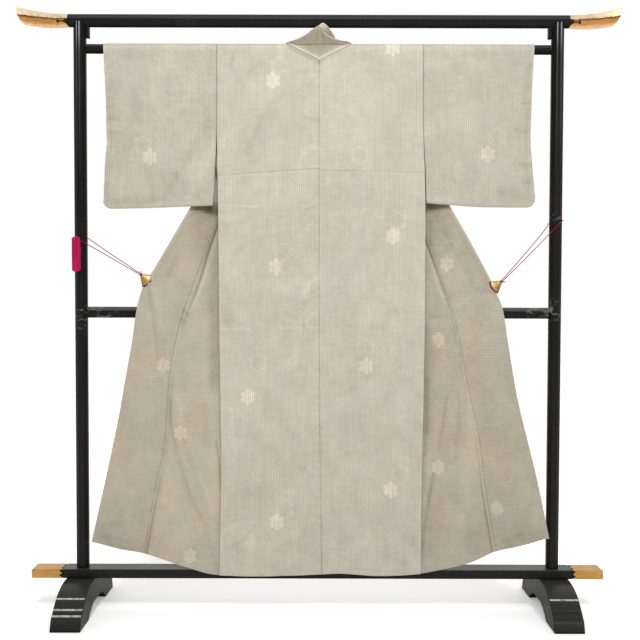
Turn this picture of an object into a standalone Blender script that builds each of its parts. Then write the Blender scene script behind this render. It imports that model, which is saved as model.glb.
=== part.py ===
"""A silk kimono, shown from its back on a lacquered stand.

The garment hangs on a rod that runs through both sleeves.  Its back faces -Y, and its two fronts
hang behind the back, fold over at the neck like opened doors, and reach out to each side, where a
fan-shaped clip and a cord hold each front edge out to a post.

Axes: +Z up, +X to the right seen from the garment's back, -Y out of the garment's back.
The origin is on the floor, under the middle of the stand.  Lengths are in metres.
"""
import math

import bmesh
import bpy
import numpy as np

# ---------------------------------------------------------------- cloth
CLOTH = 0.0012            # one wall of cloth
SEAM_GAP = 0.0003         # between two pieces at a seam
LAP = CLOTH + 2 * SEAM_GAP  # middle of one wall to the middle of the wall that lies on it

FRONT_WIDTH = 0.240       # front panel, side seam to okumi seam
COLLAR_WIDTH = 0.055      # finished width of the folded collar
SLEEVE_CORNER = 0.024     # radius of the sleeve's lower outer corner
SLEEVE_SEAM_HALF = 0.0015  # half the distance between a sleeve's two walls where they are sewn
SIDE_SEAM_TOP = 1.32      # below it the front is sewn to the back
ARMHOLE_END = 1.45        # above it the sleeve is sewn to the body
KENSAKI = 1.40            # upper point of the okumi
FOLD_OVER_TOP = 1.50      # below it the front panel itself is folded over, above it only the collar
TUCK_HEIGHT = 1.312       # sewn tuck across the back
TUCK_RISE = 0.0008        # how far the tuck stands out
TUCK_DEPTH = 0.016        # height of the raised strip
HEM_LEVEL = 0.115         # lowest part of the hem
HEM_FADE = 0.60           # above it rows are level

# ---------------------------------------------------------------- stand
POST_X = 0.709
POST_SIZE = 0.036
POST_FACET = 0.010
POST_TOP = 1.756
ROD_RADIUS = 0.0142
ROD_HEIGHT = 1.679
ROD_CLEARANCE = 0.0004
BAR_LOW, BAR_RIDGE, BAR_HIGH = 1.745, 1.764, 1.779
BAR_HALF_DEPTH_LOW, BAR_HALF_DEPTH_RIDGE, BAR_HALF_DEPTH_HIGH = 0.013, 0.0185, 0.009
BAR_GILT_FROM, BAR_END = 0.7435, 0.8955
RAIL_LOW, RAIL_HIGH, RAIL_HALF_DEPTH = 0.881, 0.914, 0.0125
BASE_LOW, BASE_HIGH, BASE_HALF_DEPTH = 0.101, 0.128, 0.035
BASE_GILT_FROM, BASE_END = 0.765, 0.856
FOOT_WIDTH = 0.086
BRACKET_WIDTH, BRACKET_DEPTH, BRACKET_HEIGHT = 0.010, 0.022, 0.034
STAND_GAP = 0.0003

# ---------------------------------------------------------------- clips and cords
CORD_RADIUS = 0.0012
CLIP_JAW = 0.0020         # each half of the clip
CLIP_RADIUS = 0.0362
CLIP_PLAY = 0.0006         # more room between the jaws, for the cloth's slight curl
HANK_WIDTH, HANK_HEIGHT, HANK_DEPTH = 0.026, 0.106, 0.012
HANK_X, HANK_TOP = -0.7175, 1.1225

SIDES = {"left": -1.0, "right": 1.0}

# Distance of each line from the middle of the stand, at some heights, for the two sides.
BACK_EDGE = {
    "height": (0.115, 0.45, 0.64, 0.93, 1.22, 1.47, 1.70),
    "left": (0.292, 0.287, 0.290, 0.294, 0.297, 0.301, 0.301),
    "right": (0.307, 0.310, 0.314, 0.317, 0.317, 0.310, 0.309),
    "centre": (0.014, 0.008, 0.005, 0.004, 0.003, 0.002, 0.002),
}
OKUMI_SEAM = {
    "height": (0.18, 0.385, 0.51, 0.67, 0.80, 0.90, 1.00, 1.15, 1.43),
    "left": (0.518, 0.483, 0.457, 0.447, 0.428, 0.403, 0.368, 0.311, 0.187),
    "right": (0.534, 0.500, 0.484, 0.450, 0.425, 0.403, 0.369, 0.316, 0.197),
}
COLLAR_EDGE = {
    "height": (0.95, 1.00, 1.215, 1.45, 1.687),
    "left": (0.537, 0.505, 0.379, 0.237, 0.094),
    "right": (0.537, 0.512, 0.393, 0.246, 0.098),
}
FREE_EDGE = {
    "height": (0.21, 0.41, 0.605, 0.67, 0.82, 0.91, 0.957, 0.975),
    "left": (0.676, 0.631, 0.590, 0.579, 0.553, 0.540, 0.528, 0.522),
    "right": (0.695, 0.652, 0.604, 0.590, 0.565, 0.550, 0.532, 0.524),
}
COLLAR_END = {"left": 0.975, "right": 0.957}
HEM = {
    "out": (0.0, 0.07, 0.18, 0.30, 0.40, 0.46, 0.53, 0.60, 0.68),
    "left": (0.117, 0.115, 0.112, 0.114, 0.140, 0.160, 0.181, 0.193, 0.212),
    "right": (0.117, 0.120, 0.114, 0.120, 0.137, 0.154, 0.185, 0.202, 0.224),
}
SLEEVE_INNER = {  # beyond the back's edge
    "height": (1.21, 1.32, 1.45, 1.70),
    "left": (0.018, 0.009, 0.0009, 0.0007),
    "right": (0.0045, 0.003, 0.0009, 0.0007),
}
SLEEVE_OUTER = {
    "height": (1.23, 1.34, 1.42, 1.50, 1.62, 1.70),
    "left": (0.638, 0.634, 0.628, 0.629, 0.634, 0.638),
    "right": (0.644, 0.634, 0.629, 0.630, 0.634, 0.639),
}
SLEEVE_BOTTOM = {
    "out": (0.31, 0.40, 0.53, 0.64),
    "left": (1.215, 1.212, 1.207, 1.205),
    "right": (1.224, 1.218, 1.212, 1.212),
}
WRIST_END = {"left": 1.414, "right": 1.436}

# How far each layer of cloth lies behind (+) or before (-) the rod's axis, at some heights.
LAYERS = {
    "height": (0.12, 0.60, 0.75, 0.88, 0.95, 1.05, 1.20, 1.45, 1.68),
    "back": (-0.0480, -0.0378, -0.0347, -0.0320, -0.0305, -0.0284, -0.0253, -0.0200, -0.0152),
    "near": (-0.0455, -0.0335, -0.0290, -0.0245, -0.0225, -0.0167, -0.0080, 0.0045, 0.0152),
    "far": (-0.0415, -0.0275, -0.0235, -0.0185, -0.0148, -0.0060, 0.0085, 0.0165, 0.0215),
}

# Soft folds of the fronts: a trough (+ depth) or ridge (- depth) along a straight line.
FOLDS = (
    # side, out and height of its top, out and height of its foot, depth, half width
    ("left", 0.405, 0.52, 0.345, 0.20, 0.010, 0.026),
    ("left", 0.500, 0.95, 0.560, 0.40, -0.004, 0.030),
    ("left", 0.470, 0.98, 0.360, 1.12, 0.004, 0.022),
    ("left", 0.600, 0.50, 0.640, 0.22, 0.004, 0.028),
    ("right", 0.345, 0.42, 0.350, 0.18, 0.009, 0.020),
    ("right", 0.420, 0.62, 0.430, 0.20, -0.005, 0.030),
    ("right", 0.490, 0.96, 0.390, 1.10, 0.004, 0.022),
    ("right", 0.590, 0.60, 0.640, 0.24, -0.005, 0.032),
)

# The collar's way over the shoulder, from the back of the neck to the outer face of the front.
NECK_TURN = {
    "seam_out": (0.0940, 0.0965, 0.0955, 0.0930, 0.0920, 0.0990),
    "seam_y": (-0.0126, 0.0000, 0.0130, 0.0188, 0.0205, 0.0205),
    "seam_z": (1.6920, 1.6975, 1.6930, 1.6720, 1.6400, 1.6000),
    "edge_out": (0.0760, 0.0800, 0.0860, 0.1010, 0.1220, 0.1465),
    "edge_y": (-0.0085, 0.0060, 0.0235, 0.0320, 0.0300, 0.0250),
    "edge_z": (1.7010, 1.7055, 1.7010, 1.6800, 1.6500, 1.6050),
}
# The collar at the back of the neck: its seam across the back, and the free edge above it.
NECK_STAND = {
    "seam_x": (-0.0925, -0.0700, -0.0450, -0.0220, 0.0020, 0.0260, 0.0490, 0.0720, 0.0925),
    "edge_x": (-0.0745, -0.0560, -0.0360, -0.0170, 0.0030, 0.0150, 0.0310, 0.0510, 0.0745),
    "edge_y": (-0.0086, -0.0140, -0.0190, -0.0225, -0.0265, -0.0300, -0.0270, -0.0190, -0.0086),
    "edge_z": (1.7010, 1.7085, 1.7190, 1.7330, 1.7430, 1.7230, 1.7100, 1.7040, 1.7010),
}
NECK_INNER = {
    "edge_x": (-0.0300, -0.0150, 0.0000, 0.0120, 0.0240, 0.0360, 0.0500),
    "edge_z": (1.7170, 1.7290, 1.7440, 1.7520, 1.7440, 1.7300, 1.7060),
}
NECK_SEAM_TIP = 1.645
# Columns of a back panel, closest where its top edge climbs over the rod beside the neck.
BACK_COLUMNS = (0.030, 0.060, 0.072, 0.078, 0.083, 0.088, 0.120, 0.165, 0.210, 0.255)
NECK_CREASE = 1.6890

MATERIALS = {
    # name: base colour, roughness, metallic
    "silk": ((0.60, 0.55, 0.46, 1.0), 0.55, 0.0),
    "lacquer": ((0.012, 0.012, 0.012, 1.0), 0.18, 0.0),
    "gilt": ((0.80, 0.50, 0.18, 1.0), 0.35, 1.0),
    "clip_metal": ((0.80, 0.48, 0.14, 1.0), 0.28, 1.0),
    "cord": ((0.52, 0.02, 0.10, 1.0), 0.60, 0.0),
}


# ---------------------------------------------------------------- small tools
def clear_scene():
    for item in list(bpy.data.objects):
        bpy.data.objects.remove(item, do_unlink=True)


def material(name):
    found = bpy.data.materials.get(name)
    if found:
        return found
    colour, roughness, metallic = MATERIALS[name]
    made = bpy.data.materials.new(name)
    made.use_nodes = True
    shader = made.node_tree.nodes["Principled BSDF"]
    shader.inputs["Base Color"].default_value = colour
    shader.inputs["Roughness"].default_value = roughness
    shader.inputs["Metallic"].default_value = metallic
    made.diffuse_color = colour
    return made


def add_object(name, mesh_points, faces, finish, smooth=True, triangles=False):
    mesh = bpy.data.meshes.new(name)
    mesh.from_pydata([tuple(p) for p in mesh_points], [], faces)
    work = bmesh.new()
    work.from_mesh(mesh)
    bmesh.ops.recalc_face_normals(work, faces=work.faces)
    if work.calc_volume(signed=True) < 0.0:
        bmesh.ops.reverse_faces(work, faces=work.faces)
    if triangles:
        bmesh.ops.triangulate(work, faces=work.faces, quad_method="SHORT_EDGE")
    work.to_mesh(mesh)
    work.free()
    if smooth:
        mesh.shade_smooth()
        mesh.set_sharp_from_angle(angle=math.radians(40))
    item = bpy.data.objects.new(name, mesh)
    item.data.materials.append(material(finish))
    bpy.context.scene.collection.objects.link(item)
    return item


def smoothstep(x):
    x = min(max(x, 0.0), 1.0)
    return x * x * (3.0 - 2.0 * x)


def curve_at(x, xs, ys):
    """Height at x of a smooth curve through the points, which never overshoots them."""
    if x <= xs[0] or x >= xs[-1]:
        return float(np.interp(x, xs, ys))
    i = int(np.searchsorted(xs, x)) - 1
    slopes = [(ys[k + 1] - ys[k]) / (xs[k + 1] - xs[k]) for k in range(len(xs) - 1)]

    def tangent(k):
        if k == 0 or k == len(xs) - 1:
            return slopes[min(k, len(slopes) - 1)]
        before, after = slopes[k - 1], slopes[k]
        return 2.0 * before * after / (before + after) if before * after > 0 else 0.0

    width = xs[i + 1] - xs[i]
    t = (x - xs[i]) / width
    a, b = tangent(i) * width, tangent(i + 1) * width
    return ((2 * t**3 - 3 * t**2 + 1) * ys[i] + (t**3 - 2 * t**2 + t) * a
            + (3 * t**2 - 2 * t**3) * ys[i + 1] + (t**3 - t**2) * b)


def line_at(table, column, height):
    return curve_at(height, table["height"], table[column])


def hem_at(side, out):
    return curve_at(out, HEM["out"], HEM[side])


# ---------------------------------------------------------------- how the cloth hangs
def drape(x, z):
    """Soft waves that all the layers share, deepest at the hem."""
    fade = smoothstep((0.75 - z) / 0.60)
    return fade * (0.0022 * math.sin(x * 17.0 + 0.6) + 0.0014 * math.sin(x * 37.0 + z * 5.0))


def fold_offset(side, out, z):
    total = 0.0
    for name, out0, z0, out1, z1, depth, width in FOLDS:
        if name != side:
            continue
        t = ((out - out0) * (out1 - out0) + (z - z0) * (z1 - z0)) / (
            (out1 - out0) ** 2 + (z1 - z0) ** 2)
        along = min(max(t, 0.0), 1.0)
        away = math.hypot(out - out0 - along * (out1 - out0), z - z0 - along * (z1 - z0))
        total += depth * math.exp(-((away / width) ** 2)) * smoothstep(4.0 * along + 0.15)
    return total * smoothstep((z - 0.150) / 0.06)


def back_y(x, z):
    return line_at(LAYERS, "back", z) + drape(x, z)


def near_y(x, z):
    return line_at(LAYERS, "near", z) + drape(x, z)


def far_y(side, out, z):
    """The ply of the front that is folded outwards, with its edge drawn straight to the clip."""
    base = line_at(LAYERS, "far", z)
    edge = line_at(COLLAR_EDGE, side, z)
    drawn = 0.0215 - 0.0400 * (1.69 - z) / 0.70
    pull = smoothstep((out - edge + 0.15) / 0.15) * smoothstep((z - 0.93) / 0.10)
    beyond = smoothstep((out - line_at(BACK_EDGE, side, z) - 0.008) / 0.03)
    return (base + (drawn - base) * pull + drape(SIDES[side] * out, z)
            + beyond * fold_offset(side, out, z))


def okumi_out(side, z):
    return line_at(OKUMI_SEAM, side, z)


def collar_seam_out(side, z):
    slope = (line_at(COLLAR_EDGE, side, 1.10) - line_at(COLLAR_EDGE, side, 1.40)) / 0.30
    return line_at(COLLAR_EDGE, side, z) - COLLAR_WIDTH * math.hypot(1.0, slope)


def front_end_out(side, z):
    """Outer limit of the front panel on its folded-over ply."""
    if z < KENSAKI + 1e-6:
        return okumi_out(side, z)
    return collar_seam_out(side, z)


def turn_radius(z):
    return 0.5 * (line_at(LAYERS, "far", z) - line_at(LAYERS, "near", z))


def fold_line_out(side, z):
    """Where the front panel turns over, so that its width stays FRONT_WIDTH from seam to seam."""
    edge = line_at(BACK_EDGE, side, z)
    if z <= KENSAKI:
        radius = turn_radius(z)
        hidden = 0.5 * (FRONT_WIDTH - math.pi * radius - (okumi_out(side, z) - edge))
        return edge - max(hidden, 0.006)
    low = fold_line_out(side, KENSAKI)
    neck = COLLAR_EDGE[side][-1]
    return low + (neck - low) * min((z - KENSAKI) / (1.687 - KENSAKI), 1.0)


def level(row, side, out):
    """Height of a row of points, which follows the hem low down and is level above."""
    fade = max(0.0, 1.0 - (row - HEM_LEVEL) / (HEM_FADE - HEM_LEVEL))
    return row + (hem_at(side, out) - HEM_LEVEL) * fade


def over_rod(length):
    """(y, z) at an arc length past the rod's axis height, on the far side of the rod."""
    radius = ROD_RADIUS + ROD_CLEARANCE + CLOTH / 2
    angle = length / radius
    return radius * math.cos(angle), ROD_HEIGHT + radius * math.sin(angle)


QUARTER = (ROD_RADIUS + ROD_CLEARANCE + CLOTH / 2) * math.pi / 2 - SEAM_GAP / 2


# ---------------------------------------------------------------- walls of cloth
def wall(name, surface, us, vs, keep=None, lift=None):
    """A closed wall on both sides of surface(u, v).

    keep(u, v) drops cells, and lift(point) moves the face on the -Y side outwards.
    """
    step = 1e-4
    count_u, count_v = len(us), len(vs)
    outer, inner = [], []
    for u in us:
        for v in vs:
            here = np.array(surface(u, v))
            du = np.array(surface(u + step, v)) - np.array(surface(u - step, v))
            dv = np.array(surface(u, v + step)) - np.array(surface(u, v - step))
            normal = np.cross(du, dv)
            normal /= max(np.linalg.norm(normal), 1e-12)
            if lift and normal[1] > 0.0:
                normal = -normal
            raised = lift(here) if lift else 0.0
            outer.append(here + normal * (CLOTH / 2 + raised))
            inner.append(here - normal * (CLOTH / 2))
    cells = {(i, j) for i in range(count_u - 1) for j in range(count_v - 1)
             if keep is None or keep(0.5 * (us[i] + us[i + 1]), 0.5 * (vs[j] + vs[j + 1]))}
    shift = len(outer)
    faces = []
    for i, j in sorted(cells):
        a, b = i * count_v + j, (i + 1) * count_v + j
        faces.append((a, b, b + 1, a + 1))
        faces.append((a + shift, a + 1 + shift, b + 1 + shift, b + shift))
        rims = (((i, j - 1), (a, b)), ((i + 1, j), (b, b + 1)),
                ((i, j + 1), (b + 1, a + 1)), ((i - 1, j), (a + 1, a)))
        for beyond, (p, q) in rims:
            if beyond not in cells:
                faces.append((q, p, p + shift, q + shift))
    points = outer + inner
    used = sorted({k for face in faces for k in face})
    place = {k: n for n, k in enumerate(used)}
    faces = [tuple(place[k] for k in face) for face in faces]
    return add_object(name, [points[k] for k in used], faces, "silk", triangles=True)


def rows_between(low, high, count):
    return [low + (high - low) * k / (count - 1) for k in range(count)]


def front_rows(side):
    """Heights that the front, the okumi and the collar share, so that their seams match."""
    end = COLLAR_END[side]
    rows = rows_between(HEM_LEVEL, end - 0.7 * SEAM_GAP, 16) + [end + 0.7 * SEAM_GAP]
    return rows + [1.03, 1.09, 1.15, 1.21, 1.265, 1.32, KENSAKI, 1.45, FOLD_OVER_TOP]


def make_back(side):
    """One back panel: centre seam to side seam, hem to the top of the rod."""
    sign = SIDES[side]
    flat_top = 1.60

    def seam_x(z):
        return line_at(BACK_EDGE, "centre", z)

    def top_length(out):
        rise = NECK_SEAM_TIP + 0.006 + (1.6914 - NECK_SEAM_TIP) * out / 0.090
        radius = ROD_RADIUS + ROD_CLEARANCE + CLOTH / 2
        if rise <= ROD_HEIGHT:
            return rise
        share = min((rise - ROD_HEIGHT) / radius, 1.0)
        return min(ROD_HEIGHT + radius * math.asin(share), ROD_HEIGHT + QUARTER)

    def surface(u, v):
        row = v if v <= flat_top else flat_top
        inner = sign * SEAM_GAP / 2 + seam_x(row)
        x = inner + (sign * line_at(BACK_EDGE, side, row) - inner) * u
        z = level(row, side, abs(x))
        if v > flat_top:
            z = flat_top + (top_length(abs(x)) - flat_top) * (v - flat_top)
        if z <= ROD_HEIGHT:
            return x, back_y(x, z), z
        y, z = over_rod(z - ROD_HEIGHT)
        return x, -y, z

    def tuck(point):
        inside = abs(point[2] - TUCK_HEIGHT) < TUCK_DEPTH / 2 + 1e-4
        return TUCK_RISE if inside else 0.0

    rows = rows_between(HEM_LEVEL, 1.27, 17)
    rows += [TUCK_HEIGHT - TUCK_DEPTH / 2 - 0.002, TUCK_HEIGHT - TUCK_DEPTH / 2,
             TUCK_HEIGHT + TUCK_DEPTH / 2, TUCK_HEIGHT + TUCK_DEPTH / 2 + 0.002]
    rows += [1.40, 1.50, flat_top, flat_top + 0.4]
    rows += [flat_top + t for t in (0.7, 0.76, 0.82, 0.88, 0.94, 1.0)]
    first = sign * SEAM_GAP / 2 + seam_x(flat_top)
    last = sign * line_at(BACK_EDGE, side, flat_top)
    columns = [0.0] + [(sign * out - first) / (last - first) for out in BACK_COLUMNS] + [1.0]
    return wall("back_" + side, surface, columns, rows, lift=tuck)


def make_front(side):
    """One front panel: sewn behind the back's edge, in behind it, over, and out again."""
    sign = SIDES[side]

    def section(u, z):
        """(out, y) of the panel at height z: u 0-1 is the near ply, 1-2 the turn, 2-3 the far."""
        edge = line_at(BACK_EDGE, side, z) - 0.0015
        radius = turn_radius(z)
        fold = min(fold_line_out(side, z), edge - 0.004 - radius)
        sewn = smoothstep((ARMHOLE_END - z) / (ARMHOLE_END - SIDE_SEAM_TOP))
        if u <= 1.0:
            out = edge + (fold + radius - edge) * u
            x = sign * out
            start = back_y(x, z) + LAP
            reach = min(0.035, edge - fold - radius)
            away = smoothstep((edge - out) / reach)
            return out, near_y(x, z) + (start - near_y(x, z)) * sewn * (1.0 - away)
        if u < 2.0:
            angle = (u - 1.0) * math.pi
            low = near_y(sign * (fold + radius), z)
            high = far_y(side, fold + radius, z)
            middle = 0.5 * (low + high)
            return (fold + radius - radius * math.sin(angle),
                    middle - 0.5 * (high - low) * math.cos(angle))
        end = max(front_end_out(side, z) - SEAM_GAP / 2, fold + radius + 0.003)
        out = fold + radius + (end - fold - radius) * (u - 2.0)
        return out, far_y(side, out, z)

    def surface(u, v):
        if v > ROD_HEIGHT:
            out, _ = section(u, ROD_HEIGHT)
            y, z = over_rod(v - ROD_HEIGHT)
            return sign * out, y, z
        out, _ = section(u, v)
        z = level(v, side, out)
        out, y = section(u, z)
        return sign * out, y, z

    def keep(u, v):
        return u < 1.0 or v < FOLD_OVER_TOP

    rows = front_rows(side) + [1.61, ROD_HEIGHT]
    rows += [ROD_HEIGHT + QUARTER * k / 4 for k in (1, 2, 3, 4)]
    columns = [0.0, 0.1, 0.25, 0.5, 0.75, 1.0, 1.25, 1.5, 1.75, 2.0]
    columns += [2.0 + k / 8 for k in range(1, 9)]
    return wall("front_" + side, surface, columns, rows, keep=keep)


def make_okumi(side):
    """The overlap panel: okumi seam to the collar above its end, and to the free edge below."""
    sign = SIDES[side]
    end = COLLAR_END[side]

    def surface(u, v):
        def at(z):
            seam = okumi_out(side, z) + SEAM_GAP / 2
            limit = collar_seam_out(side, z) - SEAM_GAP / 2
            if z < end:
                share = (collar_seam_out(side, end) - okumi_out(side, end)) / (
                    line_at(FREE_EDGE, side, end) - okumi_out(side, end))
                limit = seam + (line_at(FREE_EDGE, side, z) - seam) * share
            if u <= 1.0:
                return seam + (limit - seam) * u
            return limit + (line_at(FREE_EDGE, side, z) - limit) * (u - 1.0)
        out = at(v)
        z = level(v, side, out)
        out = at(z)
        return sign * out, far_y(side, out, z), z

    def keep(u, v):
        return u < 1.0 or v < end - 0.0002

    rows = [z for z in front_rows(side) if z <= KENSAKI]
    columns = [0.0, 0.2, 0.4, 0.6, 0.8, 1.0, 1.33, 1.66, 2.0]
    return wall("okumi_" + side, surface, columns, rows, keep=keep)


def make_collar_run(side):
    """The collar from the back of the neck, over the shoulder and down to its end at the clip."""
    sign = SIDES[side]
    turn = len(NECK_TURN["seam_z"])
    drops = [1.55] + [z for z in reversed(front_rows(side)) if z > COLLAR_END[side]]
    spots = list(range(turn)) + list(range(turn, turn + len(drops)))

    def ends(spot):
        """Seam point and free-edge point of the collar at a whole-numbered station."""
        if spot < turn:
            seam = (NECK_TURN["seam_out"][spot], NECK_TURN["seam_y"][spot],
                    NECK_TURN["seam_z"][spot])
            edge = (NECK_TURN["edge_out"][spot], NECK_TURN["edge_y"][spot],
                    NECK_TURN["edge_z"][spot])
            return np.array(seam), np.array(edge)
        z = drops[spot - turn]
        seam, edge = collar_seam_out(side, z) + SEAM_GAP / 2, line_at(COLLAR_EDGE, side, z)
        return (np.array((seam, far_y(side, seam, z), z)),
                np.array((edge, far_y(side, edge, z), z)))

    def surface(u, v):
        spot = min(max(int(math.floor(v)), 0), len(spots) - 2)
        (seam0, edge0), (seam1, edge1) = ends(spot), ends(spot + 1)
        t = v - spot
        seam, edge = seam0 + (seam1 - seam0) * t, edge0 + (edge1 - edge0) * t
        out, y, z = seam + (edge - seam) * u
        if spot >= turn:
            y = far_y(side, out, z)
        return sign * out, y, z

    columns = [0.0, 0.25, 0.5, 0.75, 1.0]
    return wall("collar_" + side, surface, columns, [float(s) for s in spots])


def back_face_y(x, z, away):
    """A place lying off the back's outer face by a distance, round the rod above its axis."""
    if z <= ROD_HEIGHT:
        return back_y(x, z) - away
    radius = ROD_RADIUS + ROD_CLEARANCE + CLOTH / 2 + away
    rise = min((z - ROD_HEIGHT) / radius, 1.0)
    return -radius * math.sqrt(1.0 - rise * rise)


def neck_surface(u, v):
    """Across the back of the neck: v 0-1 from the seam up to the crease, 1-2 on to the edge."""
    count = len(NECK_STAND["seam_x"])
    x0, x2, y2, z2 = (curve_at(u, list(range(count)), NECK_STAND[name])
                      for name in ("seam_x", "edge_x", "edge_y", "edge_z"))
    z0 = NECK_SEAM_TIP + (1.6915 - NECK_SEAM_TIP) * min(abs(x0 - 0.002) / 0.0937, 1.0)
    y0 = back_face_y(x0, z0, LAP + 0.0002)
    z1 = max(NECK_CREASE, z0 + 0.30 * (z2 - z0))
    x1 = x0 + (x2 - x0) * 0.4
    y1 = min(back_face_y(x1, z1, LAP + 0.0002), 0.35 * y2 + 0.65 * y0 + 0.001)
    if v <= 1.0:
        x, z = x0 + (x1 - x0) * v, z0 + (z1 - z0) * v
        return x, min(y0 + (y1 - y0) * v, back_face_y(x, z, LAP + 0.0002)), z
    t = v - 1.0
    belly = 0.002 * math.sin(math.pi * t)
    return x1 + (x2 - x1) * t, y1 + (y2 - y1) * t - belly, z1 + (z2 - z1) * t


def make_neck_stand():
    """The collar at the back of the neck: laid on the back, creased, and standing above."""
    columns = [k * 0.5 for k in range(2 * len(NECK_STAND["seam_x"]) - 1)]
    wall("collar_neck", neck_surface, columns, [0.0, 0.33, 0.66, 0.9, 1.0, 1.1, 1.35, 1.7, 2.0])


def make_neck_inner():
    """The inner ply of the folded collar, which leaves the crease and rises to the peak."""
    count = len(NECK_INNER["edge_x"])
    samples = [neck_surface(0.1 * k, 1.04) for k in range(81)]
    crease_x, crease_y, crease_z = ([p[k] for p in samples] for k in range(3))

    def surface(u, v):
        x = curve_at(u, list(range(count)), NECK_INNER["edge_x"])
        top = curve_at(u, list(range(count)), NECK_INNER["edge_z"])
        low = float(np.interp(x, crease_x, crease_z))
        y = float(np.interp(x, crease_x, crease_y)) + LAP
        upper = -0.0125 - 0.0065 * smoothstep((top - 1.69) / 0.04)
        return x, y + (upper - y) * v, low + (top - low) * v

    columns = [k * 0.5 for k in range(2 * count - 1)]
    wall("collar_neck_inner", surface, columns, [0.0, 0.33, 0.66, 1.0])


# ---------------------------------------------------------------- sleeves
def sleeve_levels(side, out, bottom, wrist):
    """Heights of the points down each wall, from the rod's axis to the bottom fold."""
    upper = rows_between(ROD_HEIGHT, wrist, 6)
    lower = rows_between(wrist, bottom, 6)[1:]
    return upper + lower


def make_sleeve(side):
    """A sleeve: one cloth folded over the rod, sewn along its bottom and below the wrist."""
    sign = SIDES[side]
    wrist = WRIST_END[side]
    share = [0.0, 0.2, 0.4, 0.6, 0.78]
    corner = [math.radians(a) for a in (0, 25, 45, 62)]

    def bottom_at(out):
        base = curve_at(out, SLEEVE_BOTTOM["out"], SLEEVE_BOTTOM[side])
        limit = line_at(SLEEVE_OUTER, side, base + SLEEVE_CORNER)
        past = min(max((out - limit + SLEEVE_CORNER) / SLEEVE_CORNER, 0.0), 1.0)
        return base + SLEEVE_CORNER * (1.0 - math.sqrt(1.0 - past * past))

    def walls_y(out, z):
        """Middle and half distance of the two walls."""
        limit = line_at(SLEEVE_OUTER, side, z)
        hang = smoothstep((ARMHOLE_END - z) / (ARMHOLE_END - 1.215))
        back, front = line_at(LAYERS, "back", z), line_at(LAYERS, "near", z)
        middle = 0.5 * (back + front) * (1.0 - hang) - 0.0150 * hang
        half = 0.5 * (front - back) * (1.0 - hang) + SLEEVE_SEAM_HALF * hang
        sewn = smoothstep((out - limit + 0.09) / 0.08) * smoothstep((wrist + 0.03 - z) / 0.05)
        half += (SLEEVE_SEAM_HALF - half) * sewn
        ripple = 0.0015 * math.sin(out * 42.0 + 0.8) * smoothstep((1.60 - z) / 0.30)
        return middle + ripple, half

    def loop(out_share, extra, inset):
        """One closed ring of points round the sleeve; inset is the distance to the middle."""
        ring = []
        mid_bottom = None

        def outs(z):
            inner = line_at(BACK_EDGE, side, z) + line_at(SLEEVE_INNER, side, z)
            outer = line_at(SLEEVE_OUTER, side, z)
            return inner + (outer - inner) * out_share + extra

        bottom = bottom_at(outs(1.22)) + SLEEVE_SEAM_HALF
        levels = sleeve_levels(side, outs(1.22), bottom, wrist)
        for z in reversed(levels):
            middle, half = walls_y(outs(z), z)
            ring.append((sign * outs(z), middle - half - inset, z))
        radius = ROD_RADIUS + ROD_CLEARANCE + CLOTH / 2 + inset
        for k in range(1, 8):
            a = math.pi * k / 8
            ring.append((sign * outs(ROD_HEIGHT), -radius * math.cos(a),
                         ROD_HEIGHT + radius * math.sin(a)))
        for z in levels:
            middle, half = walls_y(outs(z), z)
            ring.append((sign * outs(z), middle + half + inset, z))
        mid_bottom = walls_y(outs(bottom), bottom)[0]
        radius = SLEEVE_SEAM_HALF + inset
        for angle in (45, 90, 135):
            a = math.radians(angle)
            ring.append((sign * outs(bottom), mid_bottom + radius * math.cos(a),
                         bottom - radius * math.sin(a)))
        return ring, len(levels)

    def rings(inset, end_gap):
        made = []
        for part in share:
            made.append(loop(part, 0.0, inset)[0])
        for angle in corner:
            made.append(loop(1.0, -SLEEVE_CORNER * (1.0 - math.sin(angle)), inset)[0])
        made.append(loop(1.0, -0.00005, inset)[0])
        count = loop(1.0, 0.0, inset)[1]
        last = made[-1]
        closed = list(range(0, 6)) + list(range(len(last) - 3 - 6, len(last)))
        if end_gap:
            for k in closed:
                x, y, z = last[k]
                last[k] = (x - sign * end_gap, y, z)
        return made, count

    outer, count = rings(CLOTH / 2, 0.0)
    inner, _ = rings(-CLOTH / 2, CLOTH)
    ring_size = len(outer[0])
    points = [p for ring in outer for p in ring] + [p for ring in inner for p in ring]
    shift = len(outer) * ring_size
    faces = []
    for i in range(len(outer) - 1):
        for j in range(ring_size):
            k = (j + 1) % ring_size
            a, b = i * ring_size + j, (i + 1) * ring_size + j
            c, d = (i + 1) * ring_size + k, i * ring_size + k
            faces.append((a, b, c, d))
            faces.append((d + shift, c + shift, b + shift, a + shift))
    for j in range(ring_size):
        k = (j + 1) % ring_size
        faces.append((k, j, j + shift, k + shift))
    # the outer end: open above the wrist's end, sewn shut below it
    last = (len(outer) - 1) * ring_size
    wrist_index = 5
    front_start = count + 7
    for j in range(wrist_index, front_start + count - 1 - wrist_index):
        faces.append((last + j, last + j + 1, last + j + 1 + shift, last + j + shift))
    near = list(range(0, wrist_index + 1))
    far = [front_start + count - 1 - k for k in range(wrist_index + 1)]
    for k in range(wrist_index):
        quad = (last + near[k], last + near[k + 1], last + far[k + 1], last + far[k])
        faces.append(quad)
        faces.append(tuple(q + shift for q in reversed(quad)))
    faces.append((last + near[-1], last + far[-1], last + far[-1] + shift,
                  last + near[-1] + shift))
    low = [last + far[0]] + [last + ring_size - 3 + k for k in range(3)] + [last + near[0]]
    faces.append(tuple(low))
    faces.append(tuple(q + shift for q in reversed(low)))
    return add_object("sleeve_" + side, points, faces, "silk")


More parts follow.
